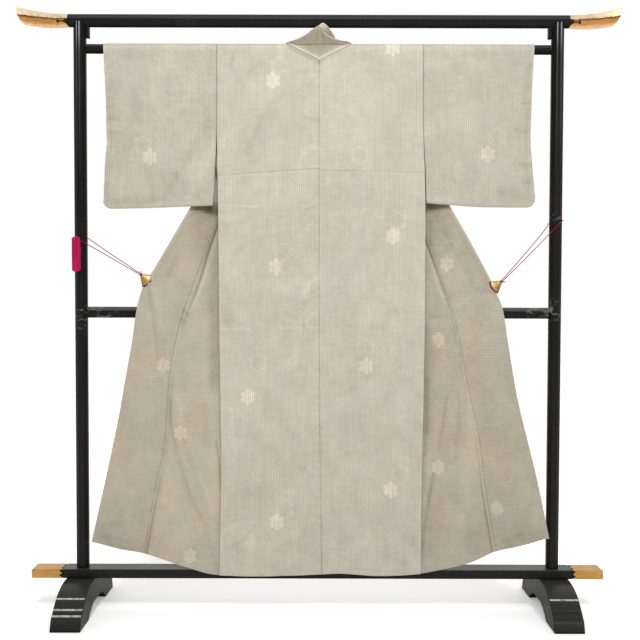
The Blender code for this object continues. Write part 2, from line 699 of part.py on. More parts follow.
# ---------------------------------------------------------------- the stand
def prism(name, outline, place, finish, smooth=False):
    """A closed solid between two copies of an outline; place(k, p) puts point p at end k."""
    count = len(outline)
    points = [place(0, p) for p in outline] + [place(1, p) for p in outline]
    faces = [tuple(reversed(range(count))), tuple(range(count, 2 * count))]
    for k in range(count):
        n = (k + 1) % count
        faces.append((k, n, n + count, k + count))
    return add_object(name, points, faces, finish, smooth)


def facetted_square(size, facet):
    half, inner = size / 2, size / 2 - facet
    return [(inner, -half), (half, -inner), (half, inner), (inner, half),
            (-inner, half), (-half, inner), (-half, -inner), (-inner, -half)]


def chamfered_box(name, low, high, chamfer, finish):
    work = bmesh.new()
    bmesh.ops.create_cube(work, size=1.0)
    for vert in work.verts:
        vert.co = [low[k] + (vert.co[k] + 0.5) * (high[k] - low[k]) for k in range(3)]
    mesh = bpy.data.meshes.new(name)
    work.to_mesh(mesh)
    work.free()
    item = bpy.data.objects.new(name, mesh)
    mesh.materials.append(material(finish))
    bpy.context.scene.collection.objects.link(item)
    bevel = item.modifiers.new("edges", "BEVEL")
    bevel.width = chamfer
    bevel.segments = 1
    return item


def bar_section():
    return [(-BAR_HALF_DEPTH_LOW, BAR_LOW), (-BAR_HALF_DEPTH_RIDGE, BAR_RIDGE),
            (-BAR_HALF_DEPTH_HIGH, BAR_HIGH), (BAR_HALF_DEPTH_HIGH, BAR_HIGH),
            (BAR_HALF_DEPTH_RIDGE, BAR_RIDGE), (BAR_HALF_DEPTH_LOW, BAR_LOW)]


def make_top_bar():
    reach = BAR_GILT_FROM - STAND_GAP
    bar = prism("top_bar", bar_section(),
                lambda k, p: ((2 * k - 1) * reach, p[0], p[1]), "lacquer")
    for side, sign in SIDES.items():
        outline = facetted_square(POST_SIZE + 2 * STAND_GAP, POST_FACET)
        cutter = prism("bar_cut_" + side, outline,
                       lambda k, p, s=sign: (s * POST_X + p[0], p[1],
                                             (1.70, POST_TOP + STAND_GAP)[k]), "lacquer")
        cutter.hide_render = True
        cutter.display_type = "WIRE"
        cut = bar.modifiers.new("post_" + side, "BOOLEAN")
        cut.operation = "DIFFERENCE"
        cut.object = cutter


def make_bar_end(side):
    """The gilded end of the top bar, which sweeps up and is cut back at its foot."""
    sign = SIDES[side]
    stations = 7
    rings = []
    for k in range(stations):
        t = k / (stations - 1)
        lift = 0.022 * t ** 2
        ring = []
        for index, (y, z) in enumerate(bar_section()):
            low, ridge = index in (0, 5), index in (1, 4)
            end = BAR_END - (0.0135 if low else 0.0050 if ridge else 0.0)
            rise = (0.009 * t ** 2 - 0.004 * math.sin(math.pi * t) if low
                    else 0.5 * lift if ridge else lift)
            spread = 1.0 + 0.06 * t
            ring.append((sign * (BAR_GILT_FROM + (end - BAR_GILT_FROM) * t), y * spread, z + rise))
        rings.append(ring)
    loft("bar_end_" + side, rings, "gilt")


def loft(name, rings, finish, smooth=False):
    count = len(rings[0])
    points = [p for ring in rings for p in ring]
    faces = [tuple(reversed(range(count))),
             tuple(range((len(rings) - 1) * count, len(rings) * count))]
    for i in range(len(rings) - 1):
        for j in range(count):
            n = (j + 1) % count
            faces.append((i * count + j, i * count + n, (i + 1) * count + n, (i + 1) * count + j))
    return add_object(name, points, faces, finish, smooth)


def make_post(side):
    sign = SIDES[side]
    prism("post_" + side, facetted_square(POST_SIZE, POST_FACET),
          lambda k, p: (sign * POST_X + p[0], p[1],
                        (BASE_HIGH + STAND_GAP, POST_TOP)[k]), "lacquer")
    inner = POST_X - POST_SIZE / 2 - STAND_GAP
    a, b = sorted((sign * inner, sign * (inner - BRACKET_WIDTH)))
    chamfered_box("bracket_" + side, (a, -BRACKET_DEPTH / 2, BAR_LOW - BRACKET_HEIGHT),
                  (b, BRACKET_DEPTH / 2, BAR_LOW - STAND_GAP), 0.0015, "lacquer")


def make_rod_and_rails():
    inner = POST_X - POST_SIZE / 2 - STAND_GAP
    ring = [(ROD_RADIUS * math.cos(a), ROD_HEIGHT + ROD_RADIUS * math.sin(a))
            for a in (2 * math.pi * k / 24 for k in range(24))]
    prism("sleeve_rod", ring, lambda k, p: ((2 * k - 1) * inner, p[0], p[1]), "lacquer", True)
    chamfered_box("middle_rail", (-inner, -RAIL_HALF_DEPTH, RAIL_LOW),
                  (inner, RAIL_HALF_DEPTH, RAIL_HIGH), 0.002, "lacquer")
    reach = BASE_GILT_FROM - STAND_GAP
    chamfered_box("base_rail", (-reach, -BASE_HALF_DEPTH, BASE_LOW),
                  (reach, BASE_HALF_DEPTH, BASE_HIGH), 0.002, "lacquer")
    for side, sign in SIDES.items():
        a, b = sorted((sign * BASE_GILT_FROM, sign * BASE_END))
        chamfered_box("base_end_" + side, (a, -BASE_HALF_DEPTH, BASE_LOW),
                      (b, BASE_HALF_DEPTH, BASE_HIGH), 0.002, "gilt")


def make_foot(side):
    """A bridge-shaped foot across the base rail: rounded shoulders, two pads and an arch."""
    sign = SIDES[side]
    top = BASE_LOW - STAND_GAP
    shoulder = [(0.040, top), (0.080, top - 0.003), (0.118, top - 0.011), (0.149, top - 0.023),
                (0.177, top - 0.040), (0.200, top - 0.057), (0.216, top - 0.070),
                (0.224, 0.012), (0.230, 0.0)]
    arch = [(0.118, 0.0), (0.098, 0.014), (0.074, 0.026), (0.045, 0.034)]
    right = shoulder + arch
    outline = right + [(-y, z) for y, z in reversed(right)]
    prism("foot_" + side, outline,
          lambda k, p: (sign * POST_X + (k - 0.5) * FOOT_WIDTH, p[0], p[1]), "lacquer", True)


# ---------------------------------------------------------------- clips and cords
CLIPS = {
    # apex of the fan (x, z), direction of its middle and half its opening in degrees
    "left": {"apex": (-0.5268, 1.0082), "aim": -43.5, "open": 41.0},
    "right": {"apex": (0.5445, 0.9906), "aim": 218.0, "open": 38.0},
}


def clip_plane(side):
    """The plane (a, b, c), y = a x + b z + c, that the clip shares with the cloth it holds."""
    aim, (apex_x, apex_z) = math.radians(CLIPS[side]["aim"]), CLIPS[side]["apex"]
    rows, heights = [], []
    for along in (0.009, 0.018, 0.027, CLIP_RADIUS):
        for across in (-0.45, 0.0, 0.45):
            x = apex_x + along * math.cos(aim + across)
            z = apex_z + along * math.sin(aim + across)
            rows.append((x, z, 1.0))
            heights.append(far_y(side, SIDES[side] * x, z))
    plane, *_ = np.linalg.lstsq(np.array(rows), np.array(heights), rcond=None)
    spread = float(np.abs(np.array(rows) @ plane - np.array(heights)).max())
    return plane, spread


def make_clip(side):
    """A fan-shaped clip: two jaws on the cloth's edge, joined beyond it at the fan's apex."""
    clip = CLIPS[side]
    aim, spread = math.radians(clip["aim"]), math.radians(clip["open"])
    apex_x, apex_z = clip["apex"]
    back, narrow = 0.003, 0.0026
    outline = [(apex_x - back * math.cos(aim) + narrow * math.sin(aim),
                apex_z - back * math.sin(aim) - narrow * math.cos(aim)),
               (apex_x - back * math.cos(aim) - narrow * math.sin(aim),
                apex_z - back * math.sin(aim) + narrow * math.cos(aim))]
    for k in range(9):
        angle = aim + spread * (1 - 2 * k / 8)
        radius = CLIP_RADIUS * (1.0 - 0.035 * (k % 2))
        outline.append((apex_x + radius * math.cos(angle), apex_z + radius * math.sin(angle)))
    plane, spread = clip_plane(side)
    slot = CLOTH / 2 + SEAM_GAP + spread + CLIP_PLAY

    def place(k, p, half):
        return p[0], float(plane @ (p[0], p[1], 1.0)) + (2 * k - 1) * half, p[1]

    body = prism("clip_" + side, outline,
                 lambda k, p: place(k, p, slot + CLIP_JAW), "clip_metal")
    # the slot that takes the cloth runs from 7 mm past the apex to beyond the arc
    near, far, wide = 0.007, 0.060, 0.060
    corners = [(near, -wide), (far, -wide), (far, wide), (near, wide)]
    mouth = [(apex_x + r * math.cos(aim) - s * math.sin(aim),
              apex_z + r * math.sin(aim) + s * math.cos(aim)) for r, s in corners]
    cutter = prism("clip_cut_" + side, mouth, lambda k, p: place(k, p, slot), "clip_metal")
    cutter.hide_render = True
    cutter.display_type = "WIRE"
    cut = body.modifiers.new("slot", "BOOLEAN")
    cut.operation = "DIFFERENCE"
    cut.object = cutter


# Points that each cord passes: from its clip, round the back of the post, and to the clip again.
CORD_ROUTES = {
    "left": ((-0.5287, -0.0165, 1.0123), (-0.5700, -0.0150, 1.0392), (-0.6300, -0.0100, 1.0787),
             (-0.6800, -0.0030, 1.1125), (-0.6905, 0.0110, 1.1190), (-0.7000, 0.0199, 1.1200),
             (-0.7180, 0.0199, 1.1190), (-0.7288, 0.0110, 1.1175), (-0.7290, -0.0100, 1.1160),
             (-0.7190, -0.0197, 1.1140), (-0.7000, -0.0197, 1.1070), (-0.6860, -0.0199, 1.0990),
             (-0.6300, -0.0188, 1.0672), (-0.5700, -0.0175, 1.0324), (-0.5310, -0.0165, 1.0099)),
    "right": ((0.5468, -0.0160, 0.9945), (0.5700, -0.0150, 1.0213), (0.6300, -0.0110, 1.0905),
              (0.6800, -0.0040, 1.1510), (0.6893, 0.0105, 1.1640), (0.7000, 0.0199, 1.1700),
              (0.7180, 0.0199, 1.1735), (0.7288, 0.0110, 1.1750), (0.7290, -0.0100, 1.1745),
              (0.7190, -0.0197, 1.1670), (0.7000, -0.0197, 1.1470), (0.6860, -0.0200, 1.1320),
              (0.6300, -0.0186, 1.0740), (0.5700, -0.0173, 1.0133), (0.5489, -0.0160, 0.9918)),
}
CORD_STEPS = 4


def smooth_route(route, steps):
    """Points on a smooth curve through the route's own points."""
    points = [np.array(p) for p in route]
    ends = [2 * points[0] - points[1]] + points + [2 * points[-1] - points[-2]]
    made = []
    for k in range(1, len(ends) - 2):
        p0, p1, p2, p3 = ends[k - 1:k + 3]
        for n in range(steps):
            t = n / steps
            made.append(0.5 * (2 * p1 + (p2 - p0) * t + (2 * p0 - 5 * p1 + 4 * p2 - p3) * t**2
                               + (3 * p1 - p0 - 3 * p2 + p3) * t**3))
    return made + [points[-1]]


def make_cord(side):
    curve = bpy.data.curves.new("cord_" + side, "CURVE")
    curve.dimensions = "3D"
    curve.bevel_depth = CORD_RADIUS
    curve.bevel_resolution = 2
    curve.use_fill_caps = True
    route = smooth_route(CORD_ROUTES[side], CORD_STEPS)
    spline = curve.splines.new("POLY")
    spline.points.add(len(route) - 1)
    for point, place in zip(spline.points, route):
        point.co = (*place, 1.0)
    curve.materials.append(material("cord"))
    item = bpy.data.objects.new("cord_" + side, curve)
    bpy.context.scene.collection.objects.link(item)


def make_hank():
    """The rest of the left cord, wound into an oblong hank that hangs on the post's front."""
    back = -(POST_SIZE / 2 + STAND_GAP + 2 * CORD_RADIUS + 0.0011)
    radius = HANK_WIDTH / 2
    low, high = HANK_TOP - HANK_HEIGHT + radius, HANK_TOP - radius
    outline = []
    for centre, start in ((high, 0.0), (low, math.pi)):
        for k in range(13):
            a = start + math.pi * k / 12
            outline.append((HANK_X + radius * math.cos(a), centre + radius * math.sin(a)))
    prism("cord_hank", outline, lambda k, p: (p[0], back - k * HANK_DEPTH, p[1]), "cord", True)


def main():
    clear_scene()
    for side in SIDES:
        make_back(side)
        make_front(side)
        make_okumi(side)
        make_collar_run(side)
        make_sleeve(side)
        make_post(side)
        make_bar_end(side)
        make_foot(side)
        make_clip(side)
        make_cord(side)
    make_neck_stand()
    make_neck_inner()
    make_top_bar()
    make_rod_and_rails()
    make_hank()


main()
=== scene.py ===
"""A silk kimono on its lacquered stand, with its pattern, cords, clips, gilding and studio."""

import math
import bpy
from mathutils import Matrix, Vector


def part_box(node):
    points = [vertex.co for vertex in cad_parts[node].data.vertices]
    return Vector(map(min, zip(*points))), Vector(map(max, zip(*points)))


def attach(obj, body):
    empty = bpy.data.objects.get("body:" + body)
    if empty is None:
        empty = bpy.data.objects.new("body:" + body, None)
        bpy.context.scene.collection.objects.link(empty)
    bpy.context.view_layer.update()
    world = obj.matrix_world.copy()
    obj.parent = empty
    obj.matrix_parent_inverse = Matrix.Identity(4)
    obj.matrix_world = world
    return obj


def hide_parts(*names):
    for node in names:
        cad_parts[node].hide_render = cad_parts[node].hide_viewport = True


bl_info = {
    "name": "Kimono on a Stand",
    "version": (1, 0, 0),
    "blender": (4, 5, 0),
    "location": "3D View > Sidebar > Kimono",
    "description": "Dresses the kimono and its stand with cloth, cords, lacquer and gilding",
    "category": "Object",
}

import bmesh
import bpy
import numpy as np
from mathutils import Matrix, Vector, noise

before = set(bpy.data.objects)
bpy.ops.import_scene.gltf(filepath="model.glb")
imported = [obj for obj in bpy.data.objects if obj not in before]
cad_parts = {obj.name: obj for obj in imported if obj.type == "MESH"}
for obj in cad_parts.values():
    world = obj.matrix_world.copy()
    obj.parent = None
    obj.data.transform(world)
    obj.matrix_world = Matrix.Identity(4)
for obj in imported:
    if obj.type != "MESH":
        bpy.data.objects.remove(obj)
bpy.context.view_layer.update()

# ---------------------------------------------------------------- the garment's cut and hang
CLOTH = 0.0012
SEAM_GAP = 0.0003
LAP = CLOTH + 2 * SEAM_GAP
FRONT_WIDTH = 0.240
COLLAR_WIDTH = 0.055
SLEEVE_CORNER = 0.024
SLEEVE_SEAM_HALF = 0.0015
SIDE_SEAM_TOP = 1.32
ARMHOLE_END = 1.45
KENSAKI = 1.40
FOLD_OVER_TOP = 1.50
HEM_LEVEL = 0.115
HEM_FADE = 0.60
ROD_RADIUS, ROD_HEIGHT, ROD_CLEARANCE = 0.0142, 1.679, 0.0004
CLOTH_RADIUS = ROD_RADIUS + ROD_CLEARANCE + CLOTH / 2
QUARTER = CLOTH_RADIUS * math.pi / 2 - SEAM_GAP / 2
NECK_SEAM_TIP, NECK_CREASE = 1.645, 1.6890
SHELL = 0.0009            # thickness of the visible cloth

SIDES = {"left": -1.0, "right": 1.0}

BACK_EDGE = {
    "height": (0.115, 0.45, 0.64, 0.93, 1.22, 1.47, 1.70),
    "left": (0.292, 0.287, 0.290, 0.294, 0.297, 0.301, 0.301),
    "right": (0.307, 0.310, 0.314, 0.317, 0.317, 0.310, 0.309),
    "centre": (0.014, 0.008, 0.005, 0.004, 0.003, 0.002, 0.002),
}
OKUMI_SEAM = {
    "height": (0.18, 0.385, 0.51, 0.67, 0.80, 0.90, 1.00, 1.15, 1.43),
    "left": (0.518, 0.483, 0.457, 0.447, 0.428, 0.403, 0.368, 0.311, 0.187),
    "right": (0.534, 0.500, 0.484, 0.450, 0.425, 0.403, 0.369, 0.316, 0.197),
}
COLLAR_EDGE = {
    "height": (0.95, 1.00, 1.215, 1.45, 1.687),
    "left": (0.537, 0.505, 0.379, 0.237, 0.094),
    "right": (0.537, 0.512, 0.393, 0.246, 0.098),
}
FREE_EDGE = {
    "height": (0.21, 0.41, 0.605, 0.67, 0.82, 0.91, 0.957, 0.975),
    "left": (0.676, 0.631, 0.590, 0.579, 0.553, 0.540, 0.528, 0.522),
    "right": (0.695, 0.652, 0.604, 0.590, 0.565, 0.550, 0.532, 0.524),
}
COLLAR_END = {"left": 0.975, "right": 0.957}
HEM = {
    "height": (0.0, 0.07, 0.18, 0.30, 0.40, 0.46, 0.53, 0.60, 0.68),
    "left": (0.117, 0.115, 0.112, 0.114, 0.140, 0.160, 0.181, 0.193, 0.212),
    "right": (0.117, 0.120, 0.114, 0.120, 0.137, 0.154, 0.185, 0.202, 0.224),
}
SLEEVE_INNER = {
    "height": (1.21, 1.32, 1.45, 1.70),
    "left": (0.018, 0.009, 0.0009, 0.0007),
    "right": (0.0045, 0.003, 0.0009, 0.0007),
}
SLEEVE_OUTER = {
    "height": (1.23, 1.34, 1.42, 1.50, 1.62, 1.70),
    "left": (0.638, 0.634, 0.628, 0.629, 0.634, 0.638),
    "right": (0.644, 0.634, 0.629, 0.630, 0.634, 0.639),
}
SLEEVE_BOTTOM = {
    "height": (0.31, 0.40, 0.53, 0.64),
    "left": (1.215, 1.212, 1.207, 1.205),
    "right": (1.224, 1.218, 1.212, 1.212),
}
WRIST_END = {"left": 1.414, "right": 1.436}
LAYERS = {
    "height": (0.12, 0.60, 0.75, 0.88, 0.95, 1.05, 1.20, 1.45, 1.68),
    "back": (-0.0480, -0.0378, -0.0347, -0.0320, -0.0305, -0.0284, -0.0253, -0.0200, -0.0152),
    "near": (-0.0455, -0.0335, -0.0290, -0.0245, -0.0225, -0.0167, -0.0080, 0.0045, 0.0152),
    "far": (-0.0415, -0.0275, -0.0235, -0.0185, -0.0148, -0.0060, 0.0085, 0.0165, 0.0215),
}
FOLDS = (
    # side, out and height of its top, out and height of its foot, depth, half width
    ("left", 0.405, 0.52, 0.345, 0.20, 0.010, 0.026),
    ("left", 0.500, 0.95, 0.560, 0.40, -0.004, 0.030),
    ("left", 0.470, 0.98, 0.360, 1.12, 0.004, 0.022),
    ("left", 0.600, 0.50, 0.640, 0.22, 0.004, 0.028),
    ("right", 0.345, 0.42, 0.350, 0.18, 0.009, 0.020),
    ("right", 0.420, 0.62, 0.430, 0.20, -0.005, 0.030),
    ("right", 0.490, 0.96, 0.390, 1.10, 0.004, 0.022),
    ("right", 0.590, 0.60, 0.640, 0.24, -0.005, 0.032),
)
NECK_TURN = {
    "height": (0.0, 1.0, 2.0, 3.0, 4.0, 5.0),
    "seam_out": (0.0940, 0.0965, 0.0955, 0.0930, 0.0920, 0.0990),
    "seam_y": (-0.0126, 0.0000, 0.0130, 0.0188, 0.0205, 0.0205),
    "seam_z": (1.6920, 1.6975, 1.6930, 1.6720, 1.6400, 1.6000),
    "edge_out": (0.0760, 0.0800, 0.0860, 0.1010, 0.1220, 0.1465),
    "edge_y": (-0.0085, 0.0060, 0.0235, 0.0320, 0.0300, 0.0250),
    "edge_z": (1.7010, 1.7055, 1.7010, 1.6800, 1.6500, 1.6050),
}
NECK_STAND = {
    "height": (0.0, 1.0, 2.0, 3.0, 4.0, 5.0, 6.0, 7.0, 8.0),
    "seam_x": (-0.0925, -0.0700, -0.0450, -0.0220, 0.0020, 0.0260, 0.0490, 0.0720, 0.0925),
    "edge_x": (-0.0745, -0.0560, -0.0360, -0.0170, 0.0030, 0.0150, 0.0310, 0.0510, 0.0745),
    "edge_y": (-0.0086, -0.0140, -0.0190, -0.0225, -0.0265, -0.0300, -0.0270, -0.0190, -0.0086),
    "edge_z": (1.7010, 1.7085, 1.7190, 1.7330, 1.7430, 1.7230, 1.7100, 1.7040, 1.7010),
}
NECK_INNER = {
    "height": (0.0, 1.0, 2.0, 3.0, 4.0, 5.0, 6.0),
    "edge_x": (-0.0300, -0.0150, 0.0000, 0.0120, 0.0240, 0.0360, 0.0500),
    "edge_z": (1.7170, 1.7290, 1.7440, 1.7520, 1.7440, 1.7300, 1.7060),
}

# The tuck across the back: its height, where that is measured and how it climbs to the right.
TUCK = {"left": (1.325, -0.001, 0.021 / 0.290), "right": (1.320, 0.005, -0.006 / 0.280)}
# The fold beside each overlap's seam: where it lies, how dark its painted shade is and how wide it
# is.
SEAM_FOLD = {
    "height": (0.12, 0.30, 0.45, 0.60, 0.85, 0.90, 0.95, 1.00, 1.05, 1.10, 1.20),
    "left_offset": (-0.0065, -0.0085, -0.0100, -0.0105, -0.0110, -0.0150, -0.0180, -0.0170,
                    -0.0130, -0.0090, -0.0060),
    "left_depth": (0.38, 0.34, 0.10, 0.10, 0.10, 0.20, 0.28, 0.32, 0.36, 0.40, 0.45),
    "left_width": (0.0030, 0.0028, 0.0016, 0.0016, 0.0018, 0.0026, 0.0036, 0.0038, 0.0040,
                   0.0038, 0.0034),
    "right_offset": (-0.0105, -0.0105, -0.0110, -0.0100, -0.0095, -0.0070, -0.0065, -0.0065,
                     -0.0070, -0.0075, -0.0080),
    "right_depth": (0.38, 0.34, 0.18, 0.09, 0.16, 0.20, 0.28, 0.34, 0.38, 0.40, 0.42),
    "right_width": (0.0030, 0.0028, 0.0018, 0.0016, 0.0018, 0.0024, 0.0029, 0.0031, 0.0033,
                    0.0033, 0.0030),
}
# Snow flowers: piece, x, z.
FLOWERS = (
    ("back", -0.135, 1.584), ("back", 0.219, 1.679), ("back", -0.125, 1.033),
    ("back", 0.221, 1.125), ("back", 0.143, 0.740), ("back", -0.208, 0.647),
    ("back", 0.218, 0.371), ("back", -0.121, 0.275), ("sleeve", -0.499, 1.357),
    ("sleeve", 0.502, 1.369), ("front", 0.384, 1.044), ("front", -0.462, 0.740),
    ("front", 0.358, 0.817), ("front", -0.411, 0.538), ("front", 0.359, 0.438),
    ("front", 0.535, 0.316), ("front", -0.381, 0.171),
)
# Open flowers, drawn in dots.
OPEN_FLOWERS = (
    ("back", -0.114, 1.628), ("back", 0.123, 1.364), ("back", -0.104, 1.077),
    ("back", 0.235, 1.170), ("back", 0.140, 0.793), ("back", -0.178, 0.748),
    ("back", 0.245, 0.419), ("back", -0.097, 0.317), ("sleeve", -0.520, 1.393),
    ("sleeve", 0.528, 1.416), ("front", 0.390, 1.090), ("front", 0.394, 0.776),
    ("front", -0.476, 0.690), ("front", 0.545, 0.366),
)
# Creases and patches of painted shade: width in mm, how much lighter (painted light and shade)
# and how far out in the two steps below, then x and z of each point in mm.
CREASE_PAINTED_LIGHT = 0.015
CREASE_RELIEF = 0.00014
CREASES_AND_SHADE = {
    "back": (
        (6, -16, 0, -88, 1682, -45, 1660, 1, 1637), (4, -9, 0, 3, 1637, 50, 1661, 88, 1683),
        (2.4, 7, 3, -294, 1214, -244, 1214, -167, 1212),
        (2.6, -5, -3, -294, 1198, -202, 1204, -84, 1196), (9, 5, 0, -294, 1180, -256, 1174),
        (3.2, -8, -3, -39, 1202, 5, 1217), (2.2, -7, -3, -60, 1190, -1, 1175),
        (3, -4, 0, -60, 1166, -30, 1163), (5, -5, -3, -70, 1611, -34, 1609),
        (3, -6, -3, -55, 1564, 1, 1567), (6, -8, -5, -46, 1479, 1, 1464),
        (3, -4, 0, -31, 1426, 1, 1429), (3, -5, -2, -40, 1361, 2, 1358),
        (8, 5, 4, -23, 1603, -2, 1585), (6, 5, 3, -25, 1526, 1, 1517),
        (6, 5, 3, -25, 1388, 2, 1385),
        (10, -5, -8, -99, 1541, -150, 1511, -185, 1437, -214, 1372),
        (6, -5, 0, -244, 1673, -262, 1626), (6, 3, 0, -238, 1649, -262, 1584),
        (8, -4, 0, -168, 1644, -203, 1608),
        (4, -3.5, -3, -261, 1047, -232, 1083, -187, 1113, -128, 1125),
        (4, -3.5, -3, -232, 1118, -187, 1145, -143, 1154), (5, -4.5, 0, -232, 1166, -202, 1178),
        (4, -3, -3, -267, 935, -232, 979, -178, 1006, -143, 1000),
        (6, 8, 6, 0, 998, -27, 983, -42, 953), (4, -8, -4, 3, 971, -24, 956),
        (5, -7, -3, -18, 941, -42, 926), (7, -5, -3, -54, 1030, -84, 1060),
        (3, -5, 0, -42, 1006, -1, 1021), (2.3, -9, -4, -45, 861, -18, 876, 9, 876),
        (2.2, -8, -3, -45, 861, -27, 837), (4, 8, 4, -36, 870, -3, 900),
        (3, 7, 2, -30, 855, -3, 852), (6, -7, -4, -98, 900, -65, 882),
        (3.5, 8, 4, -288, 849, -202, 849), (3, 3.5, 2, -187, 849, -59, 852),
        (2.2, -5, -2, -98, 840, -62, 843), (4, -5, -3, -285, 869, -232, 870),
        (9, 4, 4, -276, 244, -237, 268), (4, -4.5, -3, -267, 196, -216, 227, -183, 269),
        (9, -4, 0, -37, 251, -46, 233), (4, -3.5, -3, -157, 489, -156, 281),
        (3, -3, -2, -80, 504, -79, 341), (3, -8, -3, -41, 433, -26, 448),
        (12, -4.5, 0, 122, 1659, 181, 1639), (7, -4.5, 0, 99, 1308, 159, 1308),
        (10, -4, 0, 130, 1084, 168, 1084), (5, -6, -3, 237, 897, 222, 912),
        (5, -6, -3, 75, 475, 105, 484), (9, -6, -4, 67, 218, 97, 233),
        (5, 7, 5, 46, 173, 88, 149), (4, -6, 0, 112, 138, 180, 132),
        (4, -8, -4, 252, 154, 269, 145), (5, -6, 0, 284, 222, 305, 186),
        (3, -5, -2, 66, 680, 113, 674), (5, -3, 0, 80, 861, 199, 850),
        (4, -3, -3, 201, 1048, 207, 965, 231, 900),
    ),
    "sleeve": (
        (14, -5.5, -12, -327, 1473, -342, 1437, -375, 1379, -410, 1325, -446, 1260),
        (16, 5, 10, -312, 1408, -330, 1349, -366, 1284, -387, 1231),
        (12, -8, 0, -624, 1230, -544, 1222, -455, 1237),
        (11, -5, 0, -623, 1554, -617, 1466, -614, 1422, -624, 1334, -627, 1245),
        (5, -6, -5, -629, 1522, -605, 1528), (6, -8, -6, -626, 1475, -593, 1472),
        (4, -8, -5, -626, 1428, -582, 1428), (4, -8, -4, -625, 1619, -593, 1642),
        (4, -5, -4, -632, 1390, -609, 1384), (4, -5, -4, -633, 1325, -606, 1334),
        (4, -5, -4, -630, 1278, -609, 1272), (5, -6, -3, -528, 1660, -498, 1657),
        (5, -4.5, -3, -498, 1648, -454, 1622), (3, -4, -2, -504, 1584, -463, 1584),
        (4, 3, 0, -475, 1560, -404, 1555),
        (9, -6, 0, 621, 1622, 613, 1528, 617, 1454, 618, 1337, 622, 1248),
        (2.2, -8, -4, 582, 1443, 626, 1434), (2.2, -6, -3, 591, 1419, 626, 1419),
        (6, -7, -6, 597, 1340, 627, 1334), (4, -6, -4, 607, 1287, 631, 1284),
        (4, -4, -3, 602, 1516, 625, 1519), (4, -5, -3, 604, 1575, 628, 1569),
        (12, -7, 0, 539, 1257, 584, 1245, 628, 1233), (8, 6, 5, 331, 1239, 391, 1233),
        (5, 3.5, 4, 350, 1489, 389, 1430, 437, 1380),
        (6, -3, -4, 330, 1498, 360, 1424, 405, 1351), (6, 3, 3, 390, 1366, 426, 1322, 464, 1298),
        (6, -3, -3, 375, 1307, 450, 1268), (6, -4.5, 0, 432, 1665, 476, 1651),
    ),
    "front": (
        (44, -19, 0, -333, 1190, -334, 1095), (16, -14, 0, -310, 1048, -310, 681),
        (8, 7, 0, -408, 860, -433, 719), (70, -6, 0, -624, 198, -473, 165, -308, 135),
        (48, -11, 0, 349, 1191, 350, 1097), (18, -10, 0, 322, 847, 324, 547),
        (18, 6, 0, 464, 653, 445, 337, 398, 185), (54, -7, 0, 509, 240, 638, 210),
        (5, -8, -12, -507, 964, -495, 904, -486, 830, -477, 755),
        (8, 5, 8, -489, 970, -474, 904, -462, 830), (6, -6, -5, -424, 1060, -451, 1006),
        (2.6, -18, -6, -409, 916, -382, 878), (2.2, -8, -3, -409, 869, -382, 893),
        (2.2, -8, -3, -421, 881, -394, 869), (2.2, 7, 2, -397, 884, -379, 866),
        (2.2, -4.5, -2, -477, 887, -412, 872), (7, -8, 0, -326, 979, -319, 905),
        (6, -10, -16, -444, 636, -438, 562, -423, 487, -400, 411, -382, 351, -352, 276),
        (8, 6, 10, -423, 651, -399, 562, -373, 471, -343, 382, -312, 293),
        (10, 4, 5, -441, 487, -458, 338), (2.4, -22, -4, -304, 517, -295, 457, -289, 368),
        (8, -5, -4, -340, 636, -334, 517), (5, -6, -4, -642, 228, -565, 215),
        (3, -11, -5, 408, 898, 441, 919), (14, -5, -5, 441, 889, 477, 862),
        (5, 5, 4, 417, 921, 453, 948), (4, -7, -3, 500, 972, 483, 951),
        (4, -9, -8, 382, 644, 373, 564, 359, 489), (4.5, -5, -5, 421, 653, 418, 549, 409, 460),
        (6, 5, 5, 448, 653, 460, 549), (10, 3.5, 4, 436, 490, 424, 341),
        (6, -14, -10, 347, 417, 339, 368, 330, 324, 321, 265, 312, 196),
        (6, -10, -5, 325, 698, 326, 578, 320, 474), (5, 5, 4, 332, 474, 330, 369),
        (6, -7, -5, 554, 218, 606, 237), (12, 5, 6, 645, 306, 654, 264),
        (5, -8, -3, 364, 883, 334, 886), (5, -10, 0, 334, 1169, 337, 1101),
    ),
}

# ---------------------------------------------------------------- stand, clips and cords
POST_X = 0.709
BAR_RIDGE = 1.764
BAR_GILT_FROM, BAR_END = 0.7435, 0.8955
BASE_GILT_FROM = 0.765
FOOT_WIDTH, FOOT_TOP = 0.086, 0.1007
CORD_RADIUS = 0.0012
CORD_ROUTES = {
    "left": ((-0.5287, -0.0165, 1.0123), (-0.5700, -0.0150, 1.0392), (-0.6300, -0.0100, 1.0787),
             (-0.6800, -0.0030, 1.1125), (-0.6905, 0.0110, 1.1190), (-0.7000, 0.0199, 1.1200),
             (-0.7180, 0.0199, 1.1190), (-0.7288, 0.0110, 1.1175), (-0.7290, -0.0100, 1.1160),
             (-0.7190, -0.0197, 1.1140), (-0.7000, -0.0197, 1.1070), (-0.6860, -0.0199, 1.0990),
             (-0.6300, -0.0188, 1.0672), (-0.5700, -0.0175, 1.0324), (-0.5310, -0.0165, 1.0099)),
    "right": ((0.5468, -0.0160, 0.9945), (0.5700, -0.0150, 1.0213), (0.6300, -0.0110, 1.0905),
              (0.6800, -0.0040, 1.1510), (0.6893, 0.0105, 1.1640), (0.7000, 0.0199, 1.1700),
              (0.7180, 0.0199, 1.1735), (0.7288, 0.0110, 1.1750), (0.7290, -0.0100, 1.1745),
              (0.7190, -0.0197, 1.1670), (0.7000, -0.0197, 1.1470), (0.6860, -0.0200, 1.1320),
              (0.6300, -0.0186, 1.0740), (0.5700, -0.0173, 1.0133), (0.5489, -0.0160, 0.9918)),
}
CLIPS = {
    "left": {"apex": (-0.5268, 1.0082), "aim": -43.5, "open": 41.0},
    "right": {"apex": (0.5445, 0.9906), "aim": 218.0, "open": 38.0},
}
CLIP_RADIUS = 0.0362
